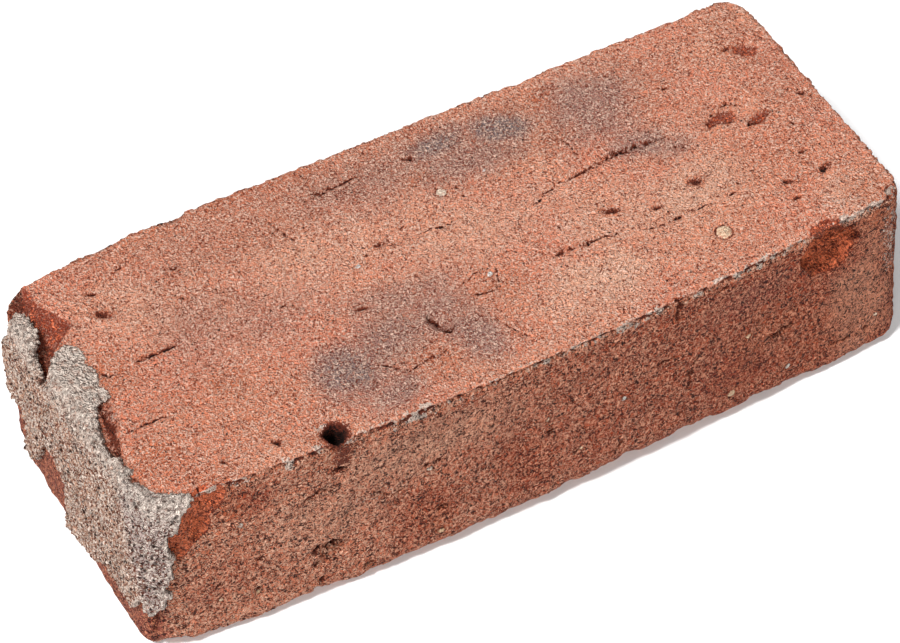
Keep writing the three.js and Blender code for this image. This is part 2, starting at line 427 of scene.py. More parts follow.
class Face(Enum):
    """The two faces with named marks: their second axis, the axis off them, and their level."""

    BED = (1, 2, 61.0)
    FRONT = (2, 1, -45.5)

    def spread(self, points: Array, at: Spot, turn: float = 0.0) -> tuple[Array, Array]:
        """Split the way from a place on this face into along and across.

        Args:
            points: (n, 3) places.
            at: The place, as x and the face's second axis.
            turn: Direction of "along", in degrees from +X.

        Returns:
            Along and across distances, endless for points that lie on another side.
        """
        second, off, level = self.value
        u, v = points[:, 0] - at[0], points[:, second] - at[1]
        a = math.radians(turn)
        away = np.where(np.abs(points[:, off] - level) > OFF_FACE, np.inf, 0.0)
        return u * math.cos(a) + v * math.sin(a) + away, v * math.cos(a) - u * math.sin(a) + away


@dataclass(frozen=True)
class Scoop:
    """A broken-out hollow: an uneven egg-shaped bite with a raw, rough wall.

    Attributes:
        at: Middle of the egg.
        size: Its three half widths.
        turn: Its turn about Z, in degrees.
        rough: Unevenness of its wall, as a share of its size.
        fresh: How much the bright inside of the clay shows.
    """

    at: Place
    size: Place
    turn: float = 0.0
    rough: float = 0.2
    fresh: float = 1.0

    def _square(self, vectors: Array, grow: Array | float) -> Array:
        """Measure vectors in the egg's own half widths.

        Args:
            vectors: (n, 3) vectors.
            grow: How much larger the egg is taken.

        Returns:
            (n, 3) vectors in half widths.
        """
        a = math.radians(self.turn)
        spin = np.array([[math.cos(a), math.sin(a), 0], [-math.sin(a), math.cos(a), 0], [0, 0, 1]])
        return (vectors @ spin.T) / (np.array(self.size) * grow)

    def covers(self, points: Array, margin: float) -> Array:
        """Whether each point is within a margin of the egg."""
        grow = 1 + margin / min(self.size)
        return (self._square(points - np.array(self.at), grow) ** 2).sum(1) < 1

    def bite(self, points: Array, inward: Array) -> Array:
        """How far each point goes in along its own direction to get out of the egg.

        Args:
            points: (n, 3) places on the skin.
            inward: (n, 3) unit directions into the clay.

        Returns:
            (n,) depths, 0 outside the egg.
        """
        depth = np.zeros(len(points))
        near = np.flatnonzero(np.abs(points - np.array(self.at)).max(axis=1) < 1.6 * max(self.size))
        if len(near) == 0:
            return depth
        seed = int(abs(self.at[0] * 13 + self.at[1] * 7)) % 997
        grow = 1 + Rough(self.rough, 0.55 * max(self.size), seed, 5, 0.6).at(points[near])[:, None]
        q = self._square(points[near] - np.array(self.at), grow)
        e = self._square(inward[near], grow)
        qa, qb, qc = (e * e).sum(1), (q * e).sum(1), (q * q).sum(1) - 1
        root = np.sqrt(np.maximum(qb * qb - qa * qc, 0))
        depth[near] = np.where(qc < 0, (root - qb) / qa, 0)
        return depth


@dataclass(frozen=True)
class Spall:
    """A flake split off along flat, rough faces that meet at a point.

    Attributes:
        at: The point, on the skin.
        walls: Directions square to the faces, out of the clay.
        rough: Unevenness of the faces.
        fresh: How much the bright inside of the clay shows.
        near: How far from the point it can reach.
    """

    at: Place
    walls: tuple[Place, ...]
    rough: float = 0.6
    fresh: float = 1.0
    near: float = 32.0

    def covers(self, points: Array, margin: float) -> Array:
        """Whether each point is within a margin of the flake.

        Args:
            points: (n, 3) places.
            margin: The margin.

        Returns:
            (n,) answers.
        """
        away = points - np.array(self.at)
        beyond = np.stack([away @ np.array(wall) for wall in self.walls]).min(axis=0)
        return (beyond > -margin) & (np.linalg.norm(away, axis=1) < self.near)

    def bite(self, points: Array, inward: Array) -> Array:
        """How far each point goes in along its own direction to reach the faces.

        Args:
            points: (n, 3) places on the skin.
            inward: (n, 3) unit directions into the clay.

        Returns:
            (n,) depths, 0 outside the flake.
        """
        depth = np.full(len(points), np.inf)
        away = points - np.array(self.at)
        for seed, wall in enumerate(self.walls):
            uneven = Rough(self.rough, 6.0, 301 + seed, 5, 0.6).at(points)
            slope = np.maximum(-(inward @ np.array(wall)), 0.2)
            depth = np.minimum(depth, (away @ np.array(wall) + uneven) / slope)
        return np.where(np.linalg.norm(away, axis=1) < self.near, np.maximum(depth, 0), 0)


class Oval:
    """The outline that pits and stones share."""

    face: Face
    at: Spot
    length: float
    slim: float
    turn: float

    def gap(self, points: Array, margin: float = 0.0) -> Array:
        """Distance of each point from the middle, where 1 is the outline grown by the margin."""
        u, v = self.face.spread(points, self.at, self.turn)
        return np.hypot(u / (self.length / 2 + margin), v / (self.length * self.slim / 2 + margin))


@dataclass(frozen=True)
class Pit(Oval):
    """A small hole left by a stone, a straw or a bubble.

    Attributes:
        face: The face that it is in.
        at: Middle of its mouth.
        length: Its longer width.
        depth: Depth at the middle.
        slim: Shorter width over longer.
        turn: Direction of its length on the face, in degrees.
        dark: How dark the painted shade inside it is.
        flush: How orange its rim is.
        wander: How ragged the mouths of pits are.
        bridged: How far beads of clay fill them.
    """

    face: Face
    at: Spot
    length: float
    depth: float
    slim: float = 0.7
    turn: float = 0.0
    dark: float = 1.0
    flush: float = 0.3
    wander: ClassVar[float] = 0.5
    bridged: ClassVar[float] = 0.15


@dataclass(frozen=True)
class Furrow:
    """A tear or crease along a line on one face, which tapers to its ends.

    Attributes:
        face: The face that it is in.
        line: Its points in order.
        width: Width at its widest.
        depth: Depth at its deepest.
        dark: How dark the painted shade inside it is.
        flush: How orange its lips are.
        wander: How ragged the mouths of furrows are.
        bridged: How far beads of clay fill them.
    """

    face: Face
    line: Line
    width: float
    depth: float
    dark: float = 1.0
    flush: float = 0.0
    wander: ClassVar[float] = 0.6
    bridged: ClassVar[float] = 0.72

    def gap(self, points: Array, margin: float = 0.0) -> Array:
        """Distance of each point from the line, where 1 is the edge of the mouth.

        Args:
            points: (n, 3) places.
            margin: How much wider the mouth is taken.

        Returns:
            (n,) distances.
        """
        knots = np.array(self.line, float)
        steps = np.linalg.norm(np.diff(knots, axis=0), axis=1)
        along = np.concatenate([[0], np.cumsum(steps)]) / steps.sum()
        best = np.full(len(points), np.inf)
        share = np.zeros(len(points))
        u, v = self.face.spread(points, (0.0, 0.0))
        place = np.stack([u, v], axis=1)
        here = np.isfinite(u)
        for k in range(len(knots) - 1):
            edge = knots[k + 1] - knots[k]
            t = np.clip(((place[here] - knots[k]) @ edge) / (edge @ edge), 0, 1)
            gap = np.linalg.norm(place[here] - knots[k] - t[:, None] * edge, axis=1)
            closer = gap < best[here]
            share[here] = np.where(closer, along[k] + t * (along[k + 1] - along[k]), share[here])
            best[here] = np.where(closer, gap, best[here])
        swell = np.sqrt(np.sin(np.pi * np.clip(share, 0.03, 0.97)))
        return best / (self.width / 2 * swell + margin)


@dataclass(frozen=True)
class Stone(Oval):
    """A pebble or a fleck of lime level with the skin, in a thin seam darkened with painted shade.

    Attributes:
        face: The face that it is in.
        at: Its middle.
        length: Its longer width.
        slim: Shorter width over longer.
        turn: Direction of its length, in degrees.
        proud: How far it stands out.
        seam: How dark the painted shade in the seam round it is.
        chalk: Its tone, from 0 for cream to 1 for white.
    """

    face: Face
    at: Spot
    length: float
    slim: float = 0.8
    turn: float = 0.0
    proud: float = 0.3
    seam: float = 0.5
    chalk: float = 0.5


@dataclass(frozen=True)
class Blot:
    """A soft-edged patch of another tone.

    Attributes:
        face: The face that it is on.
        at: Middle.
        size: Its half widths along and across.
        turn: Direction of the first half width, in degrees.
        strength: How much it shows.
    """

    face: Face
    at: Spot
    size: Pair
    turn: float = 0.0
    strength: float = 1.0

    def cover(self, points: Array, ragged: Array) -> Array:
        """How much of the patch each point has, with its edge moved by `ragged`.

        Args:
            points: (n, 3) places.
            ragged: (n,) moves of the edge, in half widths.

        Returns:
            (n,) shares.
        """
        u, v = self.face.spread(points, self.at, self.turn)
        gap = np.hypot(u / self.size[0], v / self.size[1]) + ragged
        return self.strength * smooth(*FADE, gap)


def placed(kind: type, bed: Sequence[tuple], front: Sequence[tuple] = ()) -> tuple:
    """Make marks of one kind.

    Args:
        kind: Pit, Furrow, Stone or Blot.
        bed: Those on the upper bed, each as the kind's own values after the face, in order.
        front: Those on the front stretcher face.

    Returns:
        The marks, those on the bed first.
    """
    return tuple(kind(face, *row) for face, rows in ((Face.BED, bed), (Face.FRONT, front)) for row in rows)


# --------------------------------------------------------------------------- the fired clay


@dataclass
class ClayForm:
    """The worn block: how a plain box of its size is rounded, bowed and chipped.

    Attributes:
        low: Lowest corner of the clay.
        high: Highest corner.
        bow: How far the front stretcher face swells at mid length.
        draw: How far the back stretcher face draws in, as (share of the length, depth).
        batter: How far the head leans out from the upper bed to the lower one, at its front
            and back ends.
        tail_batter: The same for the tail.
        tail_swing: How far the tail falls back at its back corner.
        lower_arris: Wear radius along the lower bed, as (share of the length, radius).
        upper_arris: Wear radius along the upper bed.
        head_arris: The same over the header that carries mortar, at its front and back ends.
        head_reach: How far along the brick that heavier wear runs out.
        corners: Wear radii in plan: head front, head back, tail front, tail back.
        core: How deep under the faces the directions of broken edges point.
        wander: How the wear radii swell and shrink along their way, as a share.
        past_corner: How far past the widest corner radius the rolled arrises ease out.
        raw_depth: How deep a break is where its clay is fully raw.
    """

    low: Array
    high: Array
    bow: float = 5.5
    draw: Line = (
        (0.0, 2.2), (0.06, 1.9), (0.13, 0.6), (0.19, -0.5), (0.26, 0.0), (0.4, 0.2), (0.55, 0.5),
        (0.62, 0.9), (0.68, 1.5), (0.74, 1.3), (0.82, 1.0), (1.0, 1.9),
    )
    batter: Pair = (5.0, 0.8)
    tail_batter: float = 2.3
    tail_swing: float = 1.4
    lower_arris: Line = ((0.0, 4.0), (0.3, 5.6), (0.5, 8.4), (0.76, 10.5), (0.88, 5.5), (1.0, 4.0))
    upper_arris: float = 1.6
    head_arris: Pair = (8.5, 3.5)
    head_reach: float = 20.0
    corners: tuple[float, float, float, float] = (10.0, 9.5, 8.0, 7.0)
    core: float = 26.0
    wander: Rough = Rough(0.5, 24.0, 11, 4, 0.8)
    past_corner: float = 4.0
    raw_depth: float = 0.8

    @property
    def span(self) -> Array:
        """Length, width and thickness."""
        return self.high - self.low

    def _arris_radius(self, block: Array) -> Array:
        """Wear radius of the arris nearest to each point of the block.

        Args:
            block: (n, 3) places on the plain block.

        Returns:
            (n,) radii.
        """
        along, across = block[:, 0] / self.span[0], block[:, 1] / self.span[1]
        worn_head = self.head_arris[0] + (self.head_arris[1] - self.head_arris[0]) * across
        upper = worn_head + (self.upper_arris - worn_head) * smooth(0.0, self.head_reach, block[:, 0])
        lower = np.interp(along, *zip(*self.lower_arris))
        radius = np.where(block[:, 2] > self.span[2] / 2, upper, lower)
        return radius * (1 + self.wander.at(block))

    def worn(self, block: Array) -> Array:
        """Carry points of the plain block's skin to the worn form.

        Args:
            block: (n, 3) places on the block, from its own lowest corner.

        Returns:
            (n, 3) places in the part's frame.
        """
        length, width, height = self.span
        side_u = np.minimum(block[:, 0], length - block[:, 0])
        side_v = np.minimum(block[:, 1], width - block[:, 1])
        inset = np.minimum(side_u, side_v)
        upper = block[:, 2] > height / 2
        drop = np.where(upper, height - block[:, 2], block[:, 2])
        radius = self._arris_radius(block)
        on_bed = drop < 1e-4
        turn = np.clip(1 - np.where(on_bed, inset, drop) / radius, 0, 1)
        reach = np.sqrt(1 + turn**2)
        near_edge, far_edge = radius * (1 - 1 / reach), radius * (1 - turn / reach)
        rolled = turn > 0
        new_inset = np.where(on_bed, np.where(rolled, far_edge, inset), np.where(rolled, near_edge, 0))
        new_drop = np.where(on_bed, np.where(rolled, near_edge, 0), np.where(rolled, far_edge, drop))

        band = max(self.corners) + self.past_corner

        def carried(side: Array) -> Array:
            """Distance from a side once the arris is rolled."""
            share = (side - inset) / np.maximum(band - inset, 1e-6)
            return np.where(side < band, new_inset + share * (band - new_inset), side)

        far_u, far_v = block[:, 0] > length / 2, block[:, 1] > width / 2
        corner = np.array(self.corners)[far_u.astype(int) * 2 + far_v.astype(int)]
        du, dv = carried(side_u), carried(side_v)
        cu, cv = np.clip(1 - du / corner, 0, 1), np.clip(1 - dv / corner, 0, 1)
        shrink = np.maximum(cu, cv) / np.maximum(np.hypot(cu, cv), 1e-9)
        in_corner = (cu > 0) & (cv > 0)
        du = np.where(in_corner, corner * (1 - cu * shrink), du)
        dv = np.where(in_corner, corner * (1 - cv * shrink), dv)
        u = np.where(far_u, length - du, du)
        v = np.where(far_v, width - dv, dv)
        z = np.where(upper, height - new_drop, new_drop)

        flat = (2 * u / length - 1) ** 2
        front = self.low[1] + self.bow * flat
        back = self.high[1] - np.interp(u / length, *zip(*self.draw))
        batter = self.batter[0] + (self.batter[1] - self.batter[0]) * v / width
        head = self.low[0] + batter * (z / height) ** 2
        tail = self.high[0] - self.tail_batter * z / height - self.tail_swing * (v / width) ** 4
        x = head + (tail - head) * u / length
        return np.stack([x, front + (back - front) * v / width, self.low[2] + z], axis=1)

    def inward(self, points: Array) -> Array:
        """Directions towards a core deep in the clay, which never cross near the skin.

        Args:
            points: (n, 3) places.

        Returns:
            (n, 3) unit directions.
        """
        heart = np.clip(points, self.low + self.core, self.high - self.core)
        away = heart - points
        return away / np.linalg.norm(away, axis=1, keepdims=True)

    def chipped(self, points: Array, scoops: Sequence[Scoop | Spall]) -> tuple[Array, Array]:
        """Take the scoops out of the worn form.

        Args:
            points: (n, 3) places on the worn form.
            scoops: What is broken out.

        Returns:
            The new places, and how raw the clay is at each, from 0 to 1.
        """
        raw = np.zeros(len(points))
        direction = self.inward(points)
        depth = np.zeros(len(points))
        for scoop in scoops:
            bite = scoop.bite(points, direction)
            depth = np.maximum(depth, bite)
            raw = np.maximum(raw, scoop.fresh * np.clip(bite / self.raw_depth, 0, 1))
        return points + direction * depth[:, None], raw


@dataclass(frozen=True)
class ClaySkin:
    """Unevenness of the clay and of the edges of its marks.

    Attributes:
        seam: How the skins of the beds and the upright faces mix at an arris.
        swell: Broad waves of all faces.
        bed: Lumps of the beds.
        face: Lumps of the upright faces.
        broken: Lumps of broken clay.
        nick: Where the arrises are nicked.
        crumb: Where they have lost crumbs.
        mouth: How ragged pits and tears are.
        bead: Where clay bridges them.
        swerve: How they bend, along each axis.
        hole: How uneven the mouth of the round hole is.
        tones: How ragged the patches of each tone are.
        patchy: Where the thread of wear and painted highlight along the front arris breaks off.
        thread: How that thread frays.
    """

    seam: Rough = Rough(0.22, 2.6, 71)
    swell: Rough = Rough(0.45, 26.0, 3, 2)
    bed: Rough = Rough(0.3, 5.5, 5, 4, 0.6)
    face: Rough = Rough(0.75, 7.0, 7, 5, 0.62)
    broken: Rough = Rough(1.5, 4.0, 9, 4, 0.7)
    nick: Rough = Rough(1.0, 5.0, 13, 3, 0.6)
    crumb: Rough = Rough(1.0, 1.7, 15, 3, 0.75)
    mouth: Rough = Rough(1.0, 1.5, 91, 3, 0.75)
    bead: Rough = Rough(1.0, 1.1, 97, 2, 0.8)
    swerve: tuple[Rough, ...] = tuple(Rough(0.9, 2.6, 111 + axis, 2, 0.6) for axis in range(3))
    hole: Rough = Rough(0.16, 2.2, 93, 2)
    tones: tuple[Rough, ...] = tuple(Rough(0.75, 11.0, 61 + tone, 5, 0.7) for tone in range(5))
    patchy: Rough = Rough(1.0, 7.0, 81, 4, 0.85)
    thread: Rough = Rough(2.4, 1.4, 83, 2, 0.7)


@dataclass(frozen=True)
class ClayMarks:
    """Everything on this one brick that is placed one by one.

    Attributes:
        scoops: What is broken out of the form.
        pits: Small holes.
        furrows: Tears and creases.
        stones: Pebbles and flecks of lime.
        soot_and_shade: Fire marks; over the header the same mask also carries painted shade.
        brown_and_shade: Browner zones; over the header the same mask also carries painted shade.
        flush: Orange patches.
        dust_and_highlight: Dusty patches; the same mask also carries the painted highlight along the front
            upper arris.
        pale: Paler zones.
    """

    scoops: tuple[Scoop | Spall, ...] = (
        # The flake at the head's back corner has a low fresh, so its raw clay takes the dark tone: partly
        # painted shade.
        Spall((-101.7, 26.6, 61.2), ((-0.444, -0.214, 0.87), (-0.6, 0.8, 0.05)), 0.7, 0.5),
        Scoop((-113.5, 43.5, 62.5), (6, 8, 5.5), 0, 0.2, 0.45),
        Scoop((-97.5, -49.5, 58.5), (7.5, 7.5, 11), -10, 0.14),
        Scoop((-101.5, -48.6, 50), (7, 6.5, 10), 0, 0.14),
        Scoop((-106.5, -47.5, 43), (5.5, 6, 8), 10, 0.14),
        Scoop((-106, -45.5, 65), (8, 5, 6), 12, 0.3, 0.7),
        Scoop((92.5, -47.5, 51), (9.5, 7.5, 9.5), 6, 0.3),
        Scoop((94, -45.5, 54.5), (6, 6, 3.2), 6, 0.3, 0.8),
        Scoop((90.5, -47, 62), (7.5, 6.5, 4), 6, 0.35, 0.7),
        Scoop((103.5, -51.3, 63), (6.5, 7, 5.5), 20, 0.3, 0.4),
        Scoop((117.5, -47.3, 65), (8.5, 9, 9), 28, 0.3, 0.8),
        Scoop((-63.5, -49.8, 18), (4.5, 5, 5), 12, 0.4, 0.1),
        Scoop((-67, -50, 16), (3, 3.6, 5.5), 12, 0.4, 0.1),
        Scoop((-53.1, -50.8, 6.6), (2.2, 4.6, 2.4), 0, 0.3, 0),
        Scoop((-31.3, -51.8, 17.9), (3.2, 4.6, 2.6), 0, 0.35, 0.3),
        Scoop((-32.5, -51.1, 12), (2.4, 3, 3.4), 0, 0.3, 0.7),
        Scoop((-117, -47.5, -2), (15, 7.5, 10), 18, 0.2, 0),
        Scoop((-119, 48, -5), (9, 16, 17), -10, 0.15, 0),
        Scoop((-67.5, -48.5, 1), (3.4, 5, 4.4), 0, 0.3, 0),
        Scoop((-53, -50, -1), (4, 5, 3.6), 0, 0.3, 0),
        Scoop((-41.9, -50.5, -1), (3, 5, 3.6), 0, 0.3, 0),
        Scoop((2.5, -53.3, -1), (13, 8, 6), 0, 0.3, 0),
        Scoop((48.5, -52.3, 1), (4, 6, 5), 0, 0.3, 0),
        Scoop((81.1, -50.3, -1), (5, 6, 5), 12, 0.3, 0),
        Scoop((108.1, -48.3, -1), (4, 6, 4.4), 12, 0.3, 0),
        Scoop((-16, -22, 62), (3, 4.2, 3.4), 20, 0.4, 0),
        Scoop((-62.5, 49.7, 63.5), (7, 4.6, 4.6), 0, 0.3, 0.2),
        Scoop((87.5, 5.6, 62.6), (6, 4.4, 2.9), 8, 0.5, 0.6),
        Scoop((97, 0.6, 62.4), (5, 2.2, 2.5), 8, 0.5, 0.5),
        Scoop((106.5, 26, 62.4), (5.5, 3, 2.3), -28, 0.5, 0.5),
    )
    # middle, length, depth, slim, turn, dark, flush
    pits: tuple[Pit, ...] = placed(
        Pit,
        bed=(
            ((-109.2, -10.8), 20, 3, 0.27, 76, 0.25, 0.3), ((-93.7, 32.7), 3.2, 1.4, 0.35, -25),
            ((-94, 24.8), 6, 1.4, 0.4, -40, 0.8, 0.9), ((-83.5, 37.7), 2, 1, 0.6, 0),
            ((-69.5, 30.7), 2.4, 1, 0.5, -10), ((-73.1, -37.8), 1.9, 1.4, 1, 0, 0.9, 0.5),
            ((-88.2, -37.1), 2, 1, 0.8, 20, 0.8, 1), ((-50.5, 3.7), 2.2, 1, 0.5, 15),
            ((-61.6, -41.6), 1.8, 1.6, 0.8, 0, 1, 0.8), ((-32.2, -8), 3.4, 1.2, 0.4, -5),
            ((-17.2, -20.4), 3.6, 1.8, 0.45, -60), ((-15.2, -24.4), 3.2, 1.8, 0.6, -60),
            ((-22.7, 8.5), 1.3, 0.8, 0.7, 0), ((-17.4, 10.6), 3.6, 0.7, 0.6, 0, 0.35, 0.4),
            ((-9.2, 13.2), 1.6, 0.9, 0.5, 0), ((3.9, 35.7), 3, 1.5, 0.45, -10),
            ((11, 18.8), 1.6, 0.7, 0.4, -60, 0.9), ((11.1, 15.6), 1.6, 0.7, 0.4, -60, 0.8),
            ((27.6, -8.1), 1.5, 0.7, 0.5, -60, 0.8), ((45.8, 14.2), 2, 1.2, 0.5, -60),
            ((67.8, 36.1), 1.9, 1.2, 0.5, -50), ((79.5, 23.4), 1.7, 1.2, 0.7, 0, 1, 0.6),
            ((93.6, 32.4), 1.6, 0.9, 0.6, 0), ((102.6, 28.2), 2, 0.8, 0.6, 0, 0.6, 1),
            ((43.4, -9.7), 4.6, 1.5, 0.6, -30, 0.55, 1), ((55, -14.9), 3.2, 1.5, 0.5, 0),
            ((68.7, -11.6), 4, 1.1, 0.7, 0, 0.6, 1), ((75.2, -20.8), 2, 0.8, 0.35, 10, 0.9),
            ((78.6, -18.2), 1.5, 0.8, 0.7, 0, 0.9), ((84.5, -15.9), 1.4, 0.7, 0.5, 0, 0.8),
            ((71, 2.9), 1.1, 1, 0.9, 0, 1, 0), ((73.2, 1.1), 1.1, 1, 0.9, 0, 1, 0),
            ((103.4, -5.5), 2, 0.8, 0.4, -60, 0.8), ((100.6, -16.5), 3, 1.3, 0.35, -15),
            ((102.5, -24.7), 4.4, 1.3, 0.45, 20, 0.9, 0.6), ((111.8, 3.4), 4, 1, 0.4, -40, 0.7, 1),
            ((91, -24.4), 3.6, 0.9, 0.35, -30, 0.9, 1), ((89.6, -30.7), 2.4, 0.8, 0.5, 0, 0.9, 0.8),
            ((42.6, -47.2), 2, 1.2, 0.7, 0, 1, 1),
        ),
        front=(
            ((-60.2, 50.1), 4.2, 1.6, 0.35, -15), ((-67.7, 43.6), 4, 1.2, 0.3, 40),
            ((-62.5, 18.8), 4.6, 2, 0.45, 25), ((-67.7, 20.6), 3.4, 1.5, 0.4, 60),
            ((-67.9, 14.6), 2.4, 1.4, 0.5, 60), ((-53.1, 6.6), 2, 1.6, 0.8, 0),
            ((-31.1, 37.8), 1.9, 1.4, 0.8, 30), ((-34.8, 37.4), 1.4, 1.1, 0.8, 0),
            ((-30.9, 17.9), 2.8, 1.4, 0.5, 30), ((-84, 25.8), 2.4, 1.2, 0.45, 10, 0.8),
            ((-85.4, 14), 1.7, 1.2, 0.8, 0, 1, 0.4), ((-96.4, 21), 1.4, 1.1, 0.8, 0),
            ((-66.7, 6.9), 2.6, 1.3, 0.4, 60), ((2.3, 30.7), 2.2, 1.4, 0.6, 0),
            ((46.9, 28.7), 1.8, 1.6, 0.9, 0), ((48.3, 32.5), 1.8, 1, 0.5, 50),
            ((24.4, 12), 2.6, 1.2, 0.4, 60), ((10.5, 17.4), 2, 1, 0.5, 30), ((106.4, 10.6), 2, 1.4, 0.8, 0),
            ((57.1, 57), 2, 1, 0.6, 30), ((93, 55), 13, 1.6, 0.2, -18, 0.9),
            ((43.5, 58), 2.4, 1.2, 0.6, 0, 1, 0.9),
        ),
    )
    # line, width, depth, dark, flush
    furrows: tuple[Furrow, ...] = placed(
        Furrow,
        bed=(
            (((25, 2), (31, 5), (37, 6.6), (41, 6.7)), 0.9, 0.5, 0.6, 0.3),
            (((36, 6.4), (41, 6.7), (46, 7.1), (51, 8), (55, 8.7), (58, 8.4)), 1.5, 1.3, 0.95, 0.4),
            (((50, 7.9), (55, 8.8), (60, 8.2), (65, 7.8), (68, 7.6)), 2.1, 2),
            (((66, 7.7), (70, 7.5), (74, 6.8)), 0.7, 0.5, 0.7),
            (((21, -16.7), (27, -16.9), (32, -17.2), (37, -17.1), (41, -17.8)), 1.6, 1.2, 1, 0.4),
            (((46, -20.5), (54, -21.1), (62, -20.8), (69, -21.4)), 0.8, 0.6, 0.8, 0.3),
            (((-25.5, 36.6), (-22, 35.8), (-17.5, 35.9)), 1.5, 1.1, 1, 0.3),
            (((-18, 35.9), (-14, 36.1), (-10, 36.3)), 0.8, 0.5, 0.6, 0.8),
            (((44.4, 21), (45.9, 18.4), (45.8, 14)), 0.7, 0.5, 0.8),
            (((-5.2, 8.9), (-2.5, 8.5), (0.8, 8.1), (4, 8.2), (7, 8.6)), 0.9, 0.5, 0.8, 0.3),
            (((-15.6, 8.6), (-13, 8.2), (-11, 8.6)), 0.7, 0.4, 0.7, 0.3),
            (((-2.7, -28.4), (-0.8, -33.8), (1, -38.3)), 0.9, 0.5, 0.75, 0.3),
            (((-6, -17), (-2.5, -19.2), (1.6, -19.4), (4.2, -18)), 0.8, 0.5, 0.9, 0.8),
            (((4.2, -18), (5.2, -15.5), (5, -13)), 0.9, 0.6, 1, 0.3),
            (((-6.5, -14.6), (-4.6, -13.2), (-1, -12), (3, -11.8)), 0.7, 0.3, 0.5, 1),
            (((10, -8.5), (12.7, -9.2), (14.4, -12.6)), 0.7, 0.4, 0.7),
            (((-38, -27.4), (-34, -31), (-30.6, -34.1), (-27.5, -33)), 0.9, 0.6, 0.85, 0.5),
            (((-28, -33), (-24.8, -32.5), (-19.1, -32.1)), 1, 0.5, 0.5, 1),
            (((-94, 5.6), (-90.8, 5.1), (-87, 4.9)), 1.4, 0.8, 0.9, 0.6),
            (((-87.5, 5), (-85, 5.2), (-82, 4.8)), 1.4, 0.8, 0.9, 0.9),
            (((-107, -15.8), (-102, -15.4), (-98, -15.8), (-93, -15.9)), 1, 0.6, 0.8, 0.5),
            (((-104, 7), (-101.5, 4.4), (-99, 3.6)), 1.6, 0.8, 0.8, 1),
            (((-39.5, 31), (-38, 26.5), (-36.5, 22)), 1.1, 0.8, 0.9, 0.3),
            (((92.5, -0.2), (97, 0.3), (101.5, 1.3)), 1.2, 0.9, 1, 0.6),
            (((82, 6.8), (83.5, 5), (85.5, 7.5), (87, 8.8)), 1.1, 0.9, 1, 0.6),
            (((86, 5), (88.5, 4), (90.2, 2.6)), 1.1, 0.8, 1, 0.6),
            (((89.5, 9), (92, 9.9), (94, 8)), 1.3, 0.9, 1, 0.4),
        ),
        front=(
            (((-50.8, 35.5), (-44.4, 31), (-41.4, 31.6)), 1.2, 0.8, 0.9, 0.5),
            (((-71, 42.6), (-66, 44.6), (-62, 43)), 1, 0.7, 0.8),
            (((72, 28.2), (76, 27.2), (81, 28.2)), 1.7, 1.2, 1, 0.7),
            (((35, 37.5), (37.7, 38.4), (42, 38)), 0.9, 0.7, 0.9),
            (((47, 28.5), (46.2, 26), (46.1, 22)), 1.3, 0.9, 0.8),
            (((94, 10.6), (98.3, 10.4), (101, 11.2)), 1, 0.7, 0.8, 0.8),
            (((-99, 62), (-97.5, 57), (-99.5, 53)), 0.8, 0.4, 0.7, 0),
        ),
    )
    # middle, length, slim, turn, proud, seam, chalk
    stones: tuple[Stone, ...] = placed(
        Stone,
        bed=(
            ((66, -31.8), 4.4, 0.95, 0, 0.5, 1, 0.2), ((6.3, 19.6), 2.8, 1, 0, -0.3, 1, 0.5),
            ((-26.3, 6.3), 1.8, 0.7, 0, 0.1, 0.7, 1), ((3.5, -13.8), 1.8, 0.8, 20, 0.2, 0.4, 1),
            ((20.5, 21), 1.2, 0.6, 30, 0.1, 0.6, 1),
        ),
        front=(
            ((80, 10.5), 1.9, 0.6, 40, 0.2, 0.4, 0.8), ((25.4, 30.9), 1.9, 0.5, 60, 0.2, 0.4, 0.9),
            ((60.8, 11.3), 2.6, 0.7, 50, 0.3, 0.6, 0.1), ((65.8, 32.3), 1.7, 0.7, 0, 0.2, 0.5, 0.1),
            ((1.9, 35.7), 1.7, 0.5, 60, 0.2, 0.6, 0.3), ((12, 17.6), 1.5, 0.6, 0, 0.2, 0.6, 0.1),
            ((-88.6, 42.7), 1.8, 0.6, 60, 0.2, 0.4, 0.7), ((-85.6, 12.4), 1.4, 0.8, 0, 0.2, 0.4, 0),
            ((-31.6, 8.4), 1.8, 0.7, 0, 0.3, 0.4, 0), ((-33.8, 35.6), 1.8, 0.7, 0, 0.4, 0.8, 0.6),
            ((-96, 14.5), 1.4, 0.7, 0, 0.2, 0.5, 0.2), ((110, 14), 1.4, 0.7, 0, 0.2, 0.5, 0.4),
        ),
    )
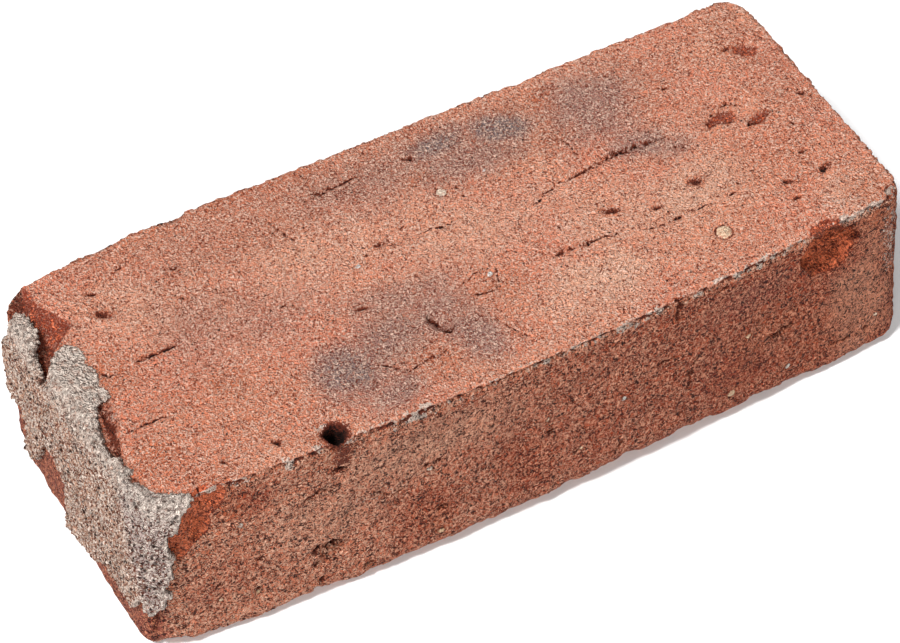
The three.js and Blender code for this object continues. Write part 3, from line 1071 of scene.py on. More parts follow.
    # middle, half widths, turn, strength, here and in the four lists of blots that follow
    soot_and_shade: tuple[Blot, ...] = placed(
        Blot,
        bed=(
            ((-44.5, -27), (9, 11), 20, 0.95), ((-38.5, -38.5), (8.5, 5.5), 0, 0.7),
            ((-9.5, -31.5), (7, 10), 10, 0.7), ((-15, -19), (9, 7), 0, 0.6),
            ((-32, -20), (11, 8.5), 25, 0.7), ((-22, -10), (16, 8), -15, 0.5), ((-61, 2), (22, 9), 0, 0.3),
            ((-75, 10), (12, 10), 0, 0.3), ((31.5, 33), (9.5, 5), -25, 1.15), ((14, 36), (10, 5), 10, 1),
            ((18, 26.5), (16, 7), 8, 0.55), ((-6, 33), (20, 8), 0, 0.32), ((58.5, 28), (12.5, 13), 0, 0.62),
            ((63, 8), (9, 5.5), -20, 0.75), ((71, 3.5), (8, 4.5), 0, 0.6),
        ),
        front=(
            ((68, 48), (14, 6), 0, 0.25), ((60, 24), (14, 12), 0, 0.1),
        ),
    )
    brown_and_shade: tuple[Blot, ...] = placed(
        Blot,
        bed=(
            ((-10, 36), (34, 13), 0, 0.85), ((-50, 35), (44, 16), 0, 0.6), ((-68, 13), (15, 7), 10, 0.4),
            ((30, 31), (30, 13), -8, 0.85), ((62, 30), (30, 12), 0, 0.5), ((-25, -25), (30, 18), 0, 0.5),
            ((108, 20), (9, 26), 0, 0.4),
        ),
        front=(
            ((-86, 52), (14, 8), 0, 0.7), ((-36, 18), (13, 15), 20, 0.75), ((-5, 22), (12, 17), 20, 0.8),
            ((20, 24), (12, 14), 0, 0.75), ((64, 20), (14, 14), 0, 1), ((-95, 22), (12, 12), 0, 0.4),
        ),
    )
    flush: tuple[Blot, ...] = placed(
        Blot,
        bed=(
            ((-82, -23), (24, 15), 0, 0.35), ((-76, -14), (7, 5.5), 0, 0.8),
            ((-103.5, -27), (10, 7), 10, 0.75), ((-98, -36), (14, 5), 0, 0.5),
            ((3.2, 26.2), (3.4, 2), 0, 0.8), ((48, 38), (6, 5), 0, 1.1), ((-102, 4), (7, 8), 0, 0.7),
            ((5, -17), (8, 7), 0, 0.4), ((-28, -34), (10, 6), 0, 0.5), ((-55, 46.5), (45, 3), 0, 0.6),
            ((-59.5, -43.5), (5.5, 4.5), 0, 0.9), ((92, -12), (14, 12), 0, 0.3),
            ((109, -41), (8, 9), 0, 0.75),
        ),
        front=(
            ((-97, 52), (9, 13), 0, 0.8), ((-32, 12), (4, 8), 0, 0.6), ((74, 30), (12, 8), 0, 0.5),
            ((90, 22), (14, 12), 0, 0.3),
        ),
    )
    dust_and_highlight: tuple[Blot, ...] = placed(
        Blot,
        bed=(
            ((-60.3, -39.8), (3, 2), 0, 0.8), ((-107.5, -6), (1.6, 5), 20, 0.6),
            ((99, -38), (8, 5), 0, 0.3),
        ),
        front=(
            ((-48, 34), (10, 2.5), 0, 0.35), ((114, 45), (4, 14), 0, 0.5), ((106, 14), (6, 5), 0, 0.15),
        ),
    )
    pale: tuple[Blot, ...] = placed(
        Blot,
        bed=(
            ((27, -30), (15, 11), 0, 0.95), ((44, -12), (18, 12), 0, 0.5), ((66, -15), (18, 9), 10, 0.7),
            ((104, -38), (10, 8), 0, 0.6), ((5, 2), (26, 11), 0, 0.5), ((-30, 15), (30, 11), 0, 0.4),
            ((-88, 25), (14, 9), 0, 0.35),
        ),
        front=(
            ((-35, 46), (28, 9), 0, 0.6), ((-66, 33), (14, 12), 0, 0.45), ((104, 26), (10, 22), 0, 0.75),
        ),
    )


@dataclass
class FiredBrick(Piece):
    """The clay body of the brick.

    Attributes:
        form: Its worn form.
        cell: Side of a square on its plain stretches.
        edge: Width of the strips along the arrises that get finer squares.
        near: How far round a mark the squares are finer.
        close: How far round a pit or a tear they are finer still.
        sunk: How far the middle of its uneven skin lies under the form.
        crumbs: Spacing of the crumbs on upright and broken faces.
        face_crumb: Height of a crumb on an upright face.
        broken_crumb: Height of a crumb on broken clay.
        nick_depth: Depth of a nick in an arris.
        crumb_depth: Depth left where an arris has lost a crumb.
        crumb_shade: How dark such a place is.
        brown_top: Height up to which the faces turn browner towards the tail.
        header_shade_in: How far in from the head the header's brown, which is painted shade, starts and where
            it is full.
        header_shade_top: The heights between which that painted shade sets in, from above.
        header_shade_grey: How much of the soot tone that painted shade takes.
        seam_depth: Depth of the seam round a stone.
        hole: Middle of the mouth of the deep round hole beside the front arris.
        hole_radius: Radius of that hole.
        hole_depth: Depth of that hole.
        hole_lip: Depth of the worn lip round it.
        hole_way: The way that it goes down.
        skin: Unevenness of its faces and marks.
        marks: What is broken out of it, torn in it, set in it or coloured on it.
    """

    node = "brick"
    slot = "fired_clay"
    form: ClayForm
    cell: float = 1.27
    edge: float = 4.5
    near: float = 1.6
    close: float = 0.5
    sunk: float = 0.35
    crumbs: float = 2.5
    face_crumb: float = 0.55
    broken_crumb: float = 0.9
    nick_depth: float = 0.9
    crumb_depth: float = 0.8
    crumb_shade: float = 0.72
    brown_top: float = 58.0
    header_shade_in: Pair = (8.0, 4.0)
    header_shade_top: Pair = (57.0, 50.0)
    header_shade_grey: float = 0.3
    seam_depth: float = 0.5
    hole: Spot = (-58.6, -43.2)
    hole_radius: float = 3.0
    hole_depth: float = 9.0
    hole_lip: float = 0.7
    hole_way: Place = (0.0, 0.25, -0.97)
    skin: ClaySkin = ClaySkin()
    marks: ClayMarks = ClayMarks()

    def _busy(self, middle: Array, margin: float) -> Array:
        """Whether each place of the worn form is within a margin of a pit, tear, stone or the hole.

        Args:
            middle: (n, 3) places.
            margin: The margin.

        Returns:
            (n,) answers.
        """
        u, v = Face.BED.spread(middle, self.hole)
        busy = np.hypot(u, v) < self.hole_radius + 2 * margin
        for mark in (*self.marks.pits, *self.marks.furrows, *self.marks.stones):
            busy |= mark.gap(middle, margin) < 1
        return busy

    def _squares(self) -> BlockSkin:
        """Lay the squares, finer along the seen arrises and round the marks.

        Returns:
            The skin.
        """
        skin = BlockSkin(self.form.span, self.cell)

        def eventful(block: Array) -> Array:
            """Whether each square is on a seen arris or near a mark.

            Args:
                block: (n, 3) middles of the squares.

            Returns:
                (n,) answers.
            """
            flat = np.sort(np.minimum(block, self.form.span - block), axis=1)
            hidden = (block[:, 2] < self.edge) & (block[:, 1] > self.edge)
            worn = self.form.worn(block)
            wanted = ((flat[:, 1] < self.edge) & ~hidden) | self._busy(worn, self.near)
            for scoop in self.marks.scoops:
                wanted |= scoop.covers(worn, self.near)
            return wanted

        skin.split(eventful)
        skin.split(lambda block: self._busy(self.form.worn(block), self.close))
        return skin

    def _flank(self, points: Array, normals: Array) -> Array:
        """How much each point belongs to an upright face rather than to a bed."""
        return smooth(0.8, 0.5, np.abs(normals[:, 2]) + self.skin.seam.at(points))

    def _relief(self, block: Array, points: Array, flank: Array, masks: Masks) -> Array:
        """Lumps and hollows of the skin, and the nicks in its arrises, with painted shade where they have
        lost crumbs.

        Args:
            block: (n, 3) places on the plain block.
            points: The same places on the chipped form.
            flank: How much each belongs to an upright face.
            masks: The masks, here added to.

        Returns:
            (n,) heights, outward from the chipped form.
        """
        raw = np.clip(masks["fresh"] * 1.5, 0, 1)
        gap, which = grains(points, self.crumbs, 41)
        crumbs = np.clip(0.75 - gap, 0, 1) * (0.3 + 0.7 * which)
        face = self.skin.face.at(points) + self.face_crumb * crumbs
        broken = self.skin.broken.at(points) + self.broken_crumb * crumbs
        sound = self.skin.bed.at(points) * (1 - flank) + face * flank
        off_arris = np.sort(np.minimum(block, self.form.span - block), axis=1)[:, 1]
        nicked = smooth(0.1, 0.5, self.skin.nick.at(points))
        nicks = smooth(2.0, 0.4, off_arris) * (1 - raw) * nicked
        lost = smooth(-0.1, 0.2, self.skin.crumb.at(points))
        band = off_arris * (2.0 - 1.3 * flank)
        crumbled = smooth(2.6, 0.8, band + 0.8 * crumbs) * (1 - raw) * lost
        # Painted shade where the arris has lost crumbs.
        masks.lay("hollow_shade", self.crumb_shade * crumbled)
        lumps = self.skin.swell.at(points) + sound * (1 - raw) + broken * raw
        return lumps - self.sunk - self.nick_depth * nicks - self.crumb_depth * crumbled

    def _sink(self, points: Array, masks: Masks) -> Array:
        """Depth of the pits, tears and stones, whose tones and painted shade go into the masks.

        Args:
            points: (n, 3) places on the chipped form.
            masks: The masks, here added to.

        Returns:
            (n,) depths.
        """
        depth = np.zeros(len(points))
        ragged = self.skin.mouth.at(points)
        beads = smooth(-0.28, 0.12, self.skin.bead.at(points))
        bent = points + np.stack([bend.at(points) for bend in self.skin.swerve], axis=1)
        for mark in (*self.marks.pits, *self.marks.furrows):
            gap = mark.gap(bent) + mark.wander * ragged
            whole = 1 - mark.bridged * (1 - beads)
            depth = np.maximum(depth, mark.depth * whole * smooth(1.35, 0.3, gap))
            # Painted shade inside pits and tears.
            masks.lay("hollow_shade", (0.7 + 0.3 * mark.dark) * whole * (1 - gap / 2))
            masks.lay("flush", mark.flush * smooth(2.4, 0.9, gap))
        for stone in self.marks.stones:
            gap = stone.gap(points) + 0.22 * ragged
            seam = smooth(0.32, 0.0, np.abs(gap - 1.15))
            depth = depth + self.seam_depth * seam - stone.proud * smooth(1.1, 0.3, gap)
            inside = 1 - gap / 2
            masks.lay("stone", inside)
            masks["chalk"] = np.where(inside > 0, stone.chalk, masks["chalk"])
            # Painted shade in the seam round the stone.
            masks.lay("hollow_shade", stone.seam * 0.6 * seam)
        return depth

    def _stick_hole(self, points: Array, masks: Masks) -> Array:
        """Depth of the hole beside the front arris, with its scorched rim and the painted shade inside it in
        the masks.

        Args:
            points: (n, 3) places on the chipped form.
            masks: The masks, here added to.

        Returns:
            (n,) depths.
        """
        u, v = Face.BED.spread(points, self.hole)
        gap = np.hypot(u, v) / self.hole_radius + self.skin.hole.at(points)
        # Painted shade inside the hole.
        masks.lay("hollow_shade", 1.35 * (1.04 - gap / 2))
        masks.lay("flush", smooth(2.2, 1.1, gap))
        return self.hole_depth * smooth(1.15, 0.7, gap) + self.hole_lip * smooth(1.9, 1.0, gap)

    def _tones(self, points: Array, masks: Masks) -> None:
        """Lay the fire marks, browner zones, orange patches and dust into the masks.

        The upright faces also turn brown towards the tail; over the header with mortar, brown and soot tones
        are laid as painted shade.

        Args:
            points: (n, 3) places on the chipped form.
            masks: The masks, here added to.
        """
        for key, edge in zip(("soot_and_shade", "brown_and_shade", "flush", "dust_and_highlight", "pale"), self.skin.tones):
            ragged = edge.at(points)
            for blot in getattr(self.marks, key):
                masks.lay(key, blot.cover(points, ragged))
        off_head = points[:, 0] - self.form.low[0]
        masks.lay("brown_and_shade", off_head / self.form.span[0] * (points[:, 2] < self.brown_top))
        # Painted shade: the header with mortar is darkened with the brown and soot tones.
        header = smooth(*self.header_shade_in, off_head) * smooth(*self.header_shade_top, points[:, 2])
        masks.lay("brown_and_shade", header)
        masks.lay("soot_and_shade", self.header_shade_grey * header)

    def _arris_wear_and_highlight(self, block: Array, points: Array) -> Array:
        """A broken, whitish thread along the front upper arris: partly wear, partly painted highlight.

        Args:
            block: (n, 3) places on the plain block.
            points: The same places on the chipped form.

        Returns:
            (n,) shares.
        """
        off = np.hypot(block[:, 1], 0.6 * (self.form.span[2] - block[:, 2]))
        patchy = smooth(-0.2, 0.2, self.skin.patchy.at(points))
        return patchy * smooth(1.9, 0.5, off + self.skin.thread.at(points))

    def build(self) -> bpy.types.Object:
        """Make the clay body.

        Returns:
            The object.
        """
        squares = self._squares()
        mesh = squares.mesh("brick_body")
        sheet = squares.flat_map(mesh)
        block = read(mesh.vertices, "co", 3)
        points = self.form.worn(block)
        flank = self._flank(points, reshaped(mesh, points))
        points, raw = self.form.chipped(points, self.marks.scoops)
        normals = reshaped(mesh, points)
        names = ("hollow_shade", "flush", "soot_and_shade", "brown_and_shade", "dust_and_highlight", "pale", "stone", "chalk")
        masks = Masks({key: np.zeros(len(points)) for key in names}, upright=flank, fresh=raw)
        self._tones(points, masks)
        depth = self._sink(points, masks)
        hole = self._stick_hole(points, masks)
        # Painted highlight, partly wear, along the front upper arris.
        masks.lay("dust_and_highlight", self._arris_wear_and_highlight(block, points))
        rise = self._relief(block, points, flank, masks) - depth
        points = points + normals * rise[:, None] + np.array(self.hole_way) * hole[:, None]
        points[:, 2] = np.clip(points[:, 2], self.form.low[2] + OFF_FLOOR, self.form.high[2])
        return finished(mesh, points, masks, sheet)


# --------------------------------------------------------------------------- the mortar


@dataclass
class MortarCrust(Piece):
    """The crust of old mortar that clings to one header and laps onto the front face.

    Its sheet runs round the worn corner: `across` is measured from the upright front
    corner, negative along the header and positive along the front face, and `up` is
    the height, which goes on over the upper arris past the thickness of the brick.

    Attributes:
        form: The clay that it clings to.
        cell: Side of a square of its mesh.
        across: Where the sheet starts and ends.
        up: Its lowest and highest line.
        thick: Thickness on the header.
        swollen: How much thicker it is beside the back of the header.
        lap: Thickness on the front face.
        bond: How far its hidden side is bedded in the clay's unevenness.
        pinch: How far round the upper corner the sheet's lines draw together.
        eased: How often its outward directions are evened out with their neighbours.
        outline: Its ragged edge, as (across, up).
        ridge: The raised line between the header and the lap.
        ridge_height: How far it is raised.
        ridge_width: Half width of the raised strip.
        edge: How the ragged edge frays.
        waves: How the thickness varies, as a share.
        lumps: Lumps of its seen side.
        grit: Spacing and height of its sand grains.
        pores: Spacing and depth of its pores.
    """

    node = "mortar_remnant"
    slot = "old_mortar"
    form: ClayForm
    cell: float = 0.42
    across: Pair = (-96.0, 18.0)
    up: Pair = (-2.0, 77.0)
    thick: float = 1.8
    swollen: float = 0.3
    lap: float = 1.6
    bond: float = 0.8
    pinch: float = 26.0
    eased: int = 8
    outline: Line = (
        (13.5, 59.5), (12, 62), (10.5, 63), (4, 64.5), (-2, 64), (-6, 64), (-9, 63), (-14.5, 60),
        (-15.5, 63.5), (-21, 61.5), (-23, 63), (-25, 59.5), (-30, 59.5), (-35.5, 62.5), (-40, 65),
        (-43, 67), (-44, 71), (-46, 71.5), (-49.5, 70.5), (-54, 72), (-59, 71), (-63, 72), (-66, 71),
        (-68, 69), (-67, 65), (-63, 61), (-61, 57), (-62, 54), (-65.5, 53), (-68.5, 56), (-72, 59),
        (-73, 63.5), (-79, 65.5), (-85, 65), (-87, 63.5), (-86, 55), (-89, 51), (-92.5, 45), (-92, 39),
        (-92, 31), (-88, 27), (-82, 28), (-79, 25), (-79.5, 21), (-81, 17), (-81, 13.5), (-79, 10),
        (-76, 12), (-71, 19), (-68, 25), (-65, 29.5), (-59, 28.5), (-53, 25), (-52, 23), (-53, 18),
        (-53, 14.5), (-55, 5), (-54, 3), (-49, 4), (-44.5, 5.5), (-35.5, 11), (-32, 11), (-27, 15),
        (-22, 14), (-17, 17), (-16, 15), (-12.5, 17), (-9, 14), (-6.5, 18), (-4, 22), (-3.5, 18),
        (-1, 16), (2, 17.5), (6, 20.5), (5.5, 22), (7.5, 25), (5.5, 27), (6, 28.5), (8, 32), (7.5, 34),
        (8, 40), (6.5, 43), (6, 47.5), (9, 50), (9, 55), (11.5, 57),
    )
    ridge: Line = ((-16, 57), (-9.5, 49), (-7.5, 39), (-5, 29), (-4, 21))
    ridge_height: float = 0.9
    ridge_width: float = 3.0
    edge: Rough = Rough(1.2, 2.2, 201, 4, 0.9)
    waves: Rough = Rough(0.35, 11.0, 203)
    lumps: Rough = Rough(1.0, 3.0, 207, 4, 0.8)
    grit: Pair = (1.3, 0.7)
    pores: Pair = (2.3, 1.2)

    def _skin(self, across: Array, up: Array) -> tuple[Array, Array]:
        """Places on the worn clay and outward directions, for a grid of sheet coordinates.

        Args:
            across: (rows, columns) first coordinates.
            up: (rows, columns) second coordinates.

        Returns:
            (rows, columns, 3) places, and unit directions square to the clay there.
        """
        height = self.form.span[2]
        over = np.maximum(up - height, 0.0)
        side = np.abs(across)
        side = np.where(side < self.pinch, over + side * (self.pinch - over) / self.pinch, side)
        head = across < 0
        block = np.stack(
            [np.where(head, over, side), np.where(head, side, over), np.clip(up, 0, height)], axis=-1
        )
        clay = self.form.worn(block.reshape(-1, 3)).reshape(block.shape)
        square = np.cross(np.gradient(clay, axis=0), np.gradient(clay, axis=1))
        for axis in (0, 1):
            for _ in range(self.eased):
                square = square + np.roll(square, 1, axis) + np.roll(square, -1, axis)
        square /= np.maximum(np.linalg.norm(square, axis=-1, keepdims=True), 1e-9)
        return clay, square

    def _inside(self, across: Array, up: Array) -> Array:
        """Signed distance to the ragged edge, positive inside.

        Args:
            across: (n,) first coordinates.
            up: (n,) second coordinates.

        Returns:
            (n,) distances.
        """
        knots = np.array(self.outline)
        ahead = np.roll(knots, -1, axis=0)
        gap = np.full(len(across), np.inf)
        crossings = np.zeros(len(across), int)
        for (u0, v0), (u1, v1) in zip(knots, ahead):
            du, dv = u1 - u0, v1 - v0
            t = np.clip(((across - u0) * du + (up - v0) * dv) / (du * du + dv * dv), 0, 1)
            gap = np.minimum(gap, np.hypot(across - u0 - t * du, up - v0 - t * dv))
            spans = (v0 > up) != (v1 > up)
            reach = u0 + (up - v0) * du / (dv if abs(dv) > 1e-9 else 1e-9)
            crossings += (spans & (across < reach)).astype(int)
        return np.where(crossings % 2 == 1, gap, -gap)

    def build(self) -> bpy.types.Object:
        """Make the crust as one closed mesh.

        Returns:
            The object.
        """
        a, w = np.meshgrid(*(np.arange(*ends, self.cell) for ends in (self.across, self.up)), indexing="ij")
        cells = np.arange(a.size).reshape(a.shape)
        ring = np.stack([cells[:-1, :-1], cells[1:, :-1], cells[1:, 1:], cells[:-1, 1:]], axis=-1)
        ring = ring.reshape(-1, 4)
        clay, outward = (part.reshape(-1, 3) for part in self._skin(a, w))
        a, w = a.ravel(), w.ravel()
        gap, which = grains(clay, self.grit[0], 205)
        edge = self._inside(a, w) + self.edge.at(clay) + 0.9 * (0.5 - gap)
        past_ridge = a - np.interp(w, *zip(*((up, along) for along, up in self.ridge[::-1])))
        full = self.lap + (self.thick - self.lap) * smooth(6.0, 0.0, a)
        full = full + self.swollen * smooth(-55.0, -80.0, a)
        full = full + self.ridge_height * np.exp(-((past_ridge / self.ridge_width) ** 2))
        full = full * (1 + self.waves.at(clay))
        grit = self.grit[1] * np.clip(0.7 - gap, 0, 1) * (0.4 + 0.6 * which)
        pores, kind = grains(clay, self.pores[0], 209)
        pore = smooth(0.34, 0.14, pores) * (kind > 0.35)
        rise = smooth(-0.1, 0.8, edge)
        thick = 0.85 * full * rise**0.5 + (grit + self.lumps.at(clay) - self.pores[1] * pore) * rise
        ring = ring[(edge > -0.1)[ring].all(axis=1)]
        outer = clay + outward * np.maximum(thick, 0.05)[:, None]
        inner = clay - outward * self.bond
        outer[:, 2] = np.minimum(outer[:, 2], self.form.high[2])
        inner[:, 2] = np.maximum(inner[:, 2], self.form.low[2] + OFF_FLOOR)
        front_edge = smooth(2.4, 0.3, edge) * smooth(-14.0, -4.0, a)
        masks = Masks(
            lap=smooth(-2.0, 3.0, past_ridge),
            crest=np.maximum(smooth(50.0, 60.0, w) * 0.8, front_edge),
            pore=pore * rise,
        )
        return self._close(outer, inner, ring, np.stack([a, w], axis=1), masks)

    def _close(self, outer: Array, inner: Array, ring: Array, flat: Array, masks: Masks) -> bpy.types.Object:
        """Join the seen and the hidden sheet along their shared edge.

        The flat map has the seen side whole, and the hidden side pressed low above it.

        Args:
            outer: Places of the seen side.
            inner: Places of the hidden side.
            ring: Squares of the sheet that mortar covers.
            flat: The sheet's own coordinates.
            masks: The masks of the seen side.

        Returns:
            The object.
        """
        count = len(outer)
        sides = np.concatenate([ring[:, [k, (k + 1) % 4]] for k in range(4)])
        forward = sides[:, 0] * count + sides[:, 1]
        backward = sides[:, 1] * count + sides[:, 0]
        rim = sides[~np.isin(forward, backward)]
        wall = np.stack([rim[:, 1], rim[:, 0], rim[:, 0] + count, rim[:, 1] + count], axis=1)
        quads = np.concatenate([ring, ring[:, ::-1] + count, wall])
        points = np.concatenate([outer, inner])
        used, quads = np.unique(quads, return_inverse=True)
        quads = quads.reshape(-1, 4)
        low, span = flat.min(axis=0), np.ptp(flat, axis=0)
        place = (flat - low) / span.max()
        margin, pressed = 0.02, np.array([1.0, 0.2])
        shift = np.array([0.0, span[1] / span.max() + margin])
        sheet = np.concatenate([place, place * pressed + shift])[used][quads] * (1 - 2 * margin) + margin
        mesh = square_mesh("mortar_crust", points[used], quads)
        both = Masks({key: np.concatenate([values, values])[used] for key, values in masks.items()})
        return finished(mesh, points[used], both, sheet.reshape(-1, 2))


# --------------------------------------------------------------------------- shader groups


class NodeDesk:
    """Short names for placing and joining nodes in one tree."""

    def __init__(self, tree: Tree) -> None:
        """Take the tree to work in."""
        self.tree = tree

    def add(self, kind: str, **settings: object) -> Node:
        """Place a node and set its plain properties.

        Args:
            kind: Node type.
            **settings: Properties by name.

        Returns:
            The node.
        """
        node = self.tree.nodes.new(kind)
        for key, value in settings.items():
            setattr(node, key, value)
        return node

    def join(self, source: Socket, node: Node, target: str | int) -> None:
        """Link an output to the named or numbered input of a node."""
        self.tree.links.new(source, node.inputs[target])

    def feed(self, node: Node, target: str | int, value: object) -> None:
        """Set an input from a number, colour or another node's output.

        Args:
            node: The node.
            target: Name or number of the input.
            value: What it gets.
        """
        if isinstance(value, Socket):
            self.join(value, node, target)
        else:
            node.inputs[target].default_value = value

    def maths(self, what: str, a: object, b: object = 0.0, c: object = 0.0) -> Socket:
        """One arithmetic step.

        Args:
            what: Operation.
            a: First value or socket.
            b: Second value or socket.
            c: Third value or socket, for the operations that have one.

        Returns:
            The result.
        """
        node = self.add("ShaderNodeMath", operation=what)
        for target, value in enumerate((a, b, c)):
            self.feed(node, target, value)
        return node.outputs[0]

    def times(self, a: object, b: object) -> Socket:
        """Product of two values."""
        return self.maths("MULTIPLY", a, b)

    def line(self, a: object, slope: object, start: object) -> Socket:
        """A value times a slope, plus a start."""
        return self.maths("MULTIPLY_ADD", a, slope, start)

    def stirred(self, value: object, by: Socket, share: float) -> Socket:
        """A value moved up and down by a texture that runs from 0 to 1."""
        return self.line(self.maths("SUBTRACT", by, 0.5), share, value)

    def blend(self, share: object, a: object, b: object) -> Socket:
        """Go from one value to another.

        Args:
            share: How much of the second.
            a: First value or socket.
            b: Second value or socket.

        Returns:
            The result.
        """
        node = self.add("ShaderNodeMix", data_type="FLOAT")
        for target, value in enumerate((share, a, b)):
            self.feed(node, (0, 2, 3)[target], value)
        return node.outputs[0]

    def ramp(self, value: object, low: float, high: float) -> Socket:
        """Go from 0 at one value to 1 at another with soft ends.

        Args:
            value: Value or socket.
            low: Where it is 0.
            high: Where it is 1.

        Returns:
            The result.
        """
        node = self.add("ShaderNodeMapRange", interpolation_type="SMOOTHSTEP")
        for target, setting in (("Value", value), ("From Min", low), ("From Max", high)):
            self.feed(node, target, setting)
        return node.outputs["Result"]

    def tint(self, share: object, a: object, b: object, mode: str = "MIX") -> Socket:
        """Blend two colours.

        Args:
            share: How much of the second.
            a: First colour or socket.
            b: Second colour or socket.
            mode: Blend type.

        Returns:
            The blended colour.
        """
        node = self.add("ShaderNodeMix", data_type="RGBA", blend_type=mode, clamp_factor=True)
        self.feed(node, 0, share)
        self.feed(node, 6, a)
        self.feed(node, 7, b)
        return node.outputs[2]

    def mask(self, name: str) -> Socket:
        """Read one of the mesh's own masks."""
        return self.add("ShaderNodeAttribute", attribute_name=name).outputs["Fac"]

    def noise(self, scale: object, detail: float, bend: object = 0.0) -> Node:
        """Place a noise texture fixed to the object.

        Args:
            scale: Lumps per metre.
            detail: Number of finer layers.
            bend: How far the lumps are drawn out into curls.

        Returns:
            The texture node.
        """
        node = self.add("ShaderNodeTexNoise")
        self.join(self.add("ShaderNodeTexCoord").outputs["Object"], node, "Vector")
        for target, value in (("Scale", scale), ("Detail", detail), ("Roughness", 0.6), ("Distortion", bend)):
            self.feed(node, target, value)
        return node

    def split(self, colour: Socket) -> Sequence[Socket]:
        """Give the three channels of a colour.

        Args:
            colour: The colour.

        Returns:
            Red, green and blue.
        """
        node = self.add("ShaderNodeSeparateColor")
        self.join(colour, node, "Color")
        return node.outputs[:3]

    def group(self, tree: Tree, **values: float) -> Node:
        """Place a group with its own values.

        Args:
            tree: The group.
            **values: Its inputs by name, with _ for a space.

        Returns:
            The group's node.
        """
        node = self.add("ShaderNodeGroup", node_tree=tree)
        for key, value in values.items():
            node.inputs[key.replace("_", " ")].default_value = value
        return node


class ShaderGroups:
    """The effects that both finishes use, each built once."""

    def __init__(self) -> None:
        """Build the groups."""
        self.grain = self._grain()
        self.mottle = self._mottle()
        self.pinholes = self._pinholes()

    @staticmethod
    def _start(name: str, inputs: dict[str, float], outputs: Sequence[str]) -> tuple:
        """Open a group with number sockets and give its desk and both ends.

        Args:
            name: Its name.
            inputs: First values of its inputs, by name.
            outputs: Names of its outputs.

        Returns:
            Its desk, its input node and its output node.
        """
        tree = bpy.data.node_groups.new(name, "ShaderNodeTree")
        for key, value in inputs.items():
            socket = tree.interface.new_socket(key, in_out="INPUT", socket_type="NodeSocketFloat")
            socket.default_value = value
        for key in outputs:
            tree.interface.new_socket(key, in_out="OUTPUT", socket_type="NodeSocketFloat")
        desk = NodeDesk(tree)
        return desk, desk.add("NodeGroupInput"), desk.add("NodeGroupOutput")

    def _grain(self) -> Tree:
        """Torn, granular skin: dark gaps, pale ridges, speckled tones, and their height. The finishes colour
        the gaps partly as painted shade and the ridges partly as painted highlight.

        Returns:
            The group.
        """
        desk, into, out = self._start(
            "torn grain",
            {"Grains per metre": 1000.0, "Bend": 1.0, "Coarse": 1.0, "Open": 0.0},
            ("Gap", "Ridge", "Tone", "Cluster", "Height"),
        )
        scale, bend = into.outputs["Grains per metre"], into.outputs["Bend"]
        fine = desk.split(desk.noise(scale, 1.0, bend).outputs["Color"])
        coarse = desk.split(desk.noise(desk.times(scale, 0.35), 2.0, bend).outputs["Color"])
        low = desk.maths("SUBTRACT", fine[2], desk.stirred(into.outputs["Open"], coarse[1], 0.35))
        strokes = desk.split(desk.noise(desk.times(scale, 0.5), 1.0, bend).outputs["Color"])

        def stroke(channel: Socket, width: float, kept: Socket) -> Socket:
            """Thin curled lines where a channel passes its middle, kept only in places."""
            off = desk.maths("ABSOLUTE", desk.maths("SUBTRACT", channel, 0.5))
            return desk.times(desk.ramp(off, width, width / 3), kept)

        scored = stroke(strokes[0], 0.06, desk.ramp(low, 0.5, 0.44))
        raised = stroke(strokes[1], 0.075, desk.ramp(fine[2], 0.44, 0.5))
        gap = desk.maths("MAXIMUM", desk.ramp(low, 0.37, 0.32), scored)
        ridge = desk.maths("MAXIMUM", desk.times(desk.ramp(fine[2], 0.55, 0.62), 0.8), raised)
        tone, cluster = (desk.ramp(part[0], 0.3, 0.7) for part in (fine, coarse))
        for key, value in (("Gap", gap), ("Ridge", ridge), ("Tone", tone), ("Cluster", cluster)):
            desk.join(value, out, key)
        height = desk.line(coarse[2], desk.times(into.outputs["Coarse"], 2.5), fine[2])
        desk.join(desk.line(desk.maths("SUBTRACT", ridge, gap), 0.12, height), out, "Height")
        return desk.tree

    def _mottle(self) -> Tree:
        """Cloudy tone from a broad and a middling layer.

        Returns:
            The group.
        """
        desk, into, out = self._start("cloudy mottle", {"Clouds per metre": 40.0}, ("Broad", "Small"))
        for name, times in (("Broad", 1.0), ("Small", 6.0)):
            noise = desk.noise(desk.times(into.outputs[0], times), 3.0)
            desk.join(desk.ramp(noise.outputs["Fac"], 0.3, 0.7), out, name)
        return desk.tree

    def _pinholes(self) -> Tree:
        """Scattered pores: 1 in a pore, 0 between.

        Returns:
            The group.
        """
        desk, into, out = self._start(
            "pinholes", {"Holes per metre": 500.0, "Share": 0.3, "Width": 0.25}, ("Pore",)
        )
        warp = desk.noise(desk.times(into.outputs[0], 2.0), 1.0)
        cell = desk.add("ShaderNodeTexVoronoi", feature="F1", distance="EUCLIDEAN")
        desk.join(desk.add("ShaderNodeTexCoord").outputs["Object"], cell, "Vector")
        desk.join(into.outputs["Holes per metre"], cell, "Scale")
        chosen = desk.maths("LESS_THAN", desk.split(cell.outputs["Color"])[0], into.outputs["Share"])
        bent = desk.line(warp.outputs["Fac"], 0.5, cell.outputs["Distance"])
        inside = desk.maths("SUBTRACT", desk.maths("ADD", into.outputs["Width"], 0.25), bent)
        desk.join(desk.times(desk.ramp(inside, 0.0, 0.08), chosen), out, "Pore")
        return desk.tree


def srgb(red: float, green: float, blue: float) -> Colour:
    """Turn a colour as the eye names it, from 0 to 255, into the shader's linear values.

    Args:
        red: Red.
        green: Green.
        blue: Blue.

    Returns:
        The colour, solid.
    """

    def linear(value: float) -> float:
        """One channel."""
        v = value / 255
        return v / 12.92 if v <= 0.04045 else ((v + 0.055) / 1.055) ** 2.4

    return (linear(red), linear(green), linear(blue), 1.0)


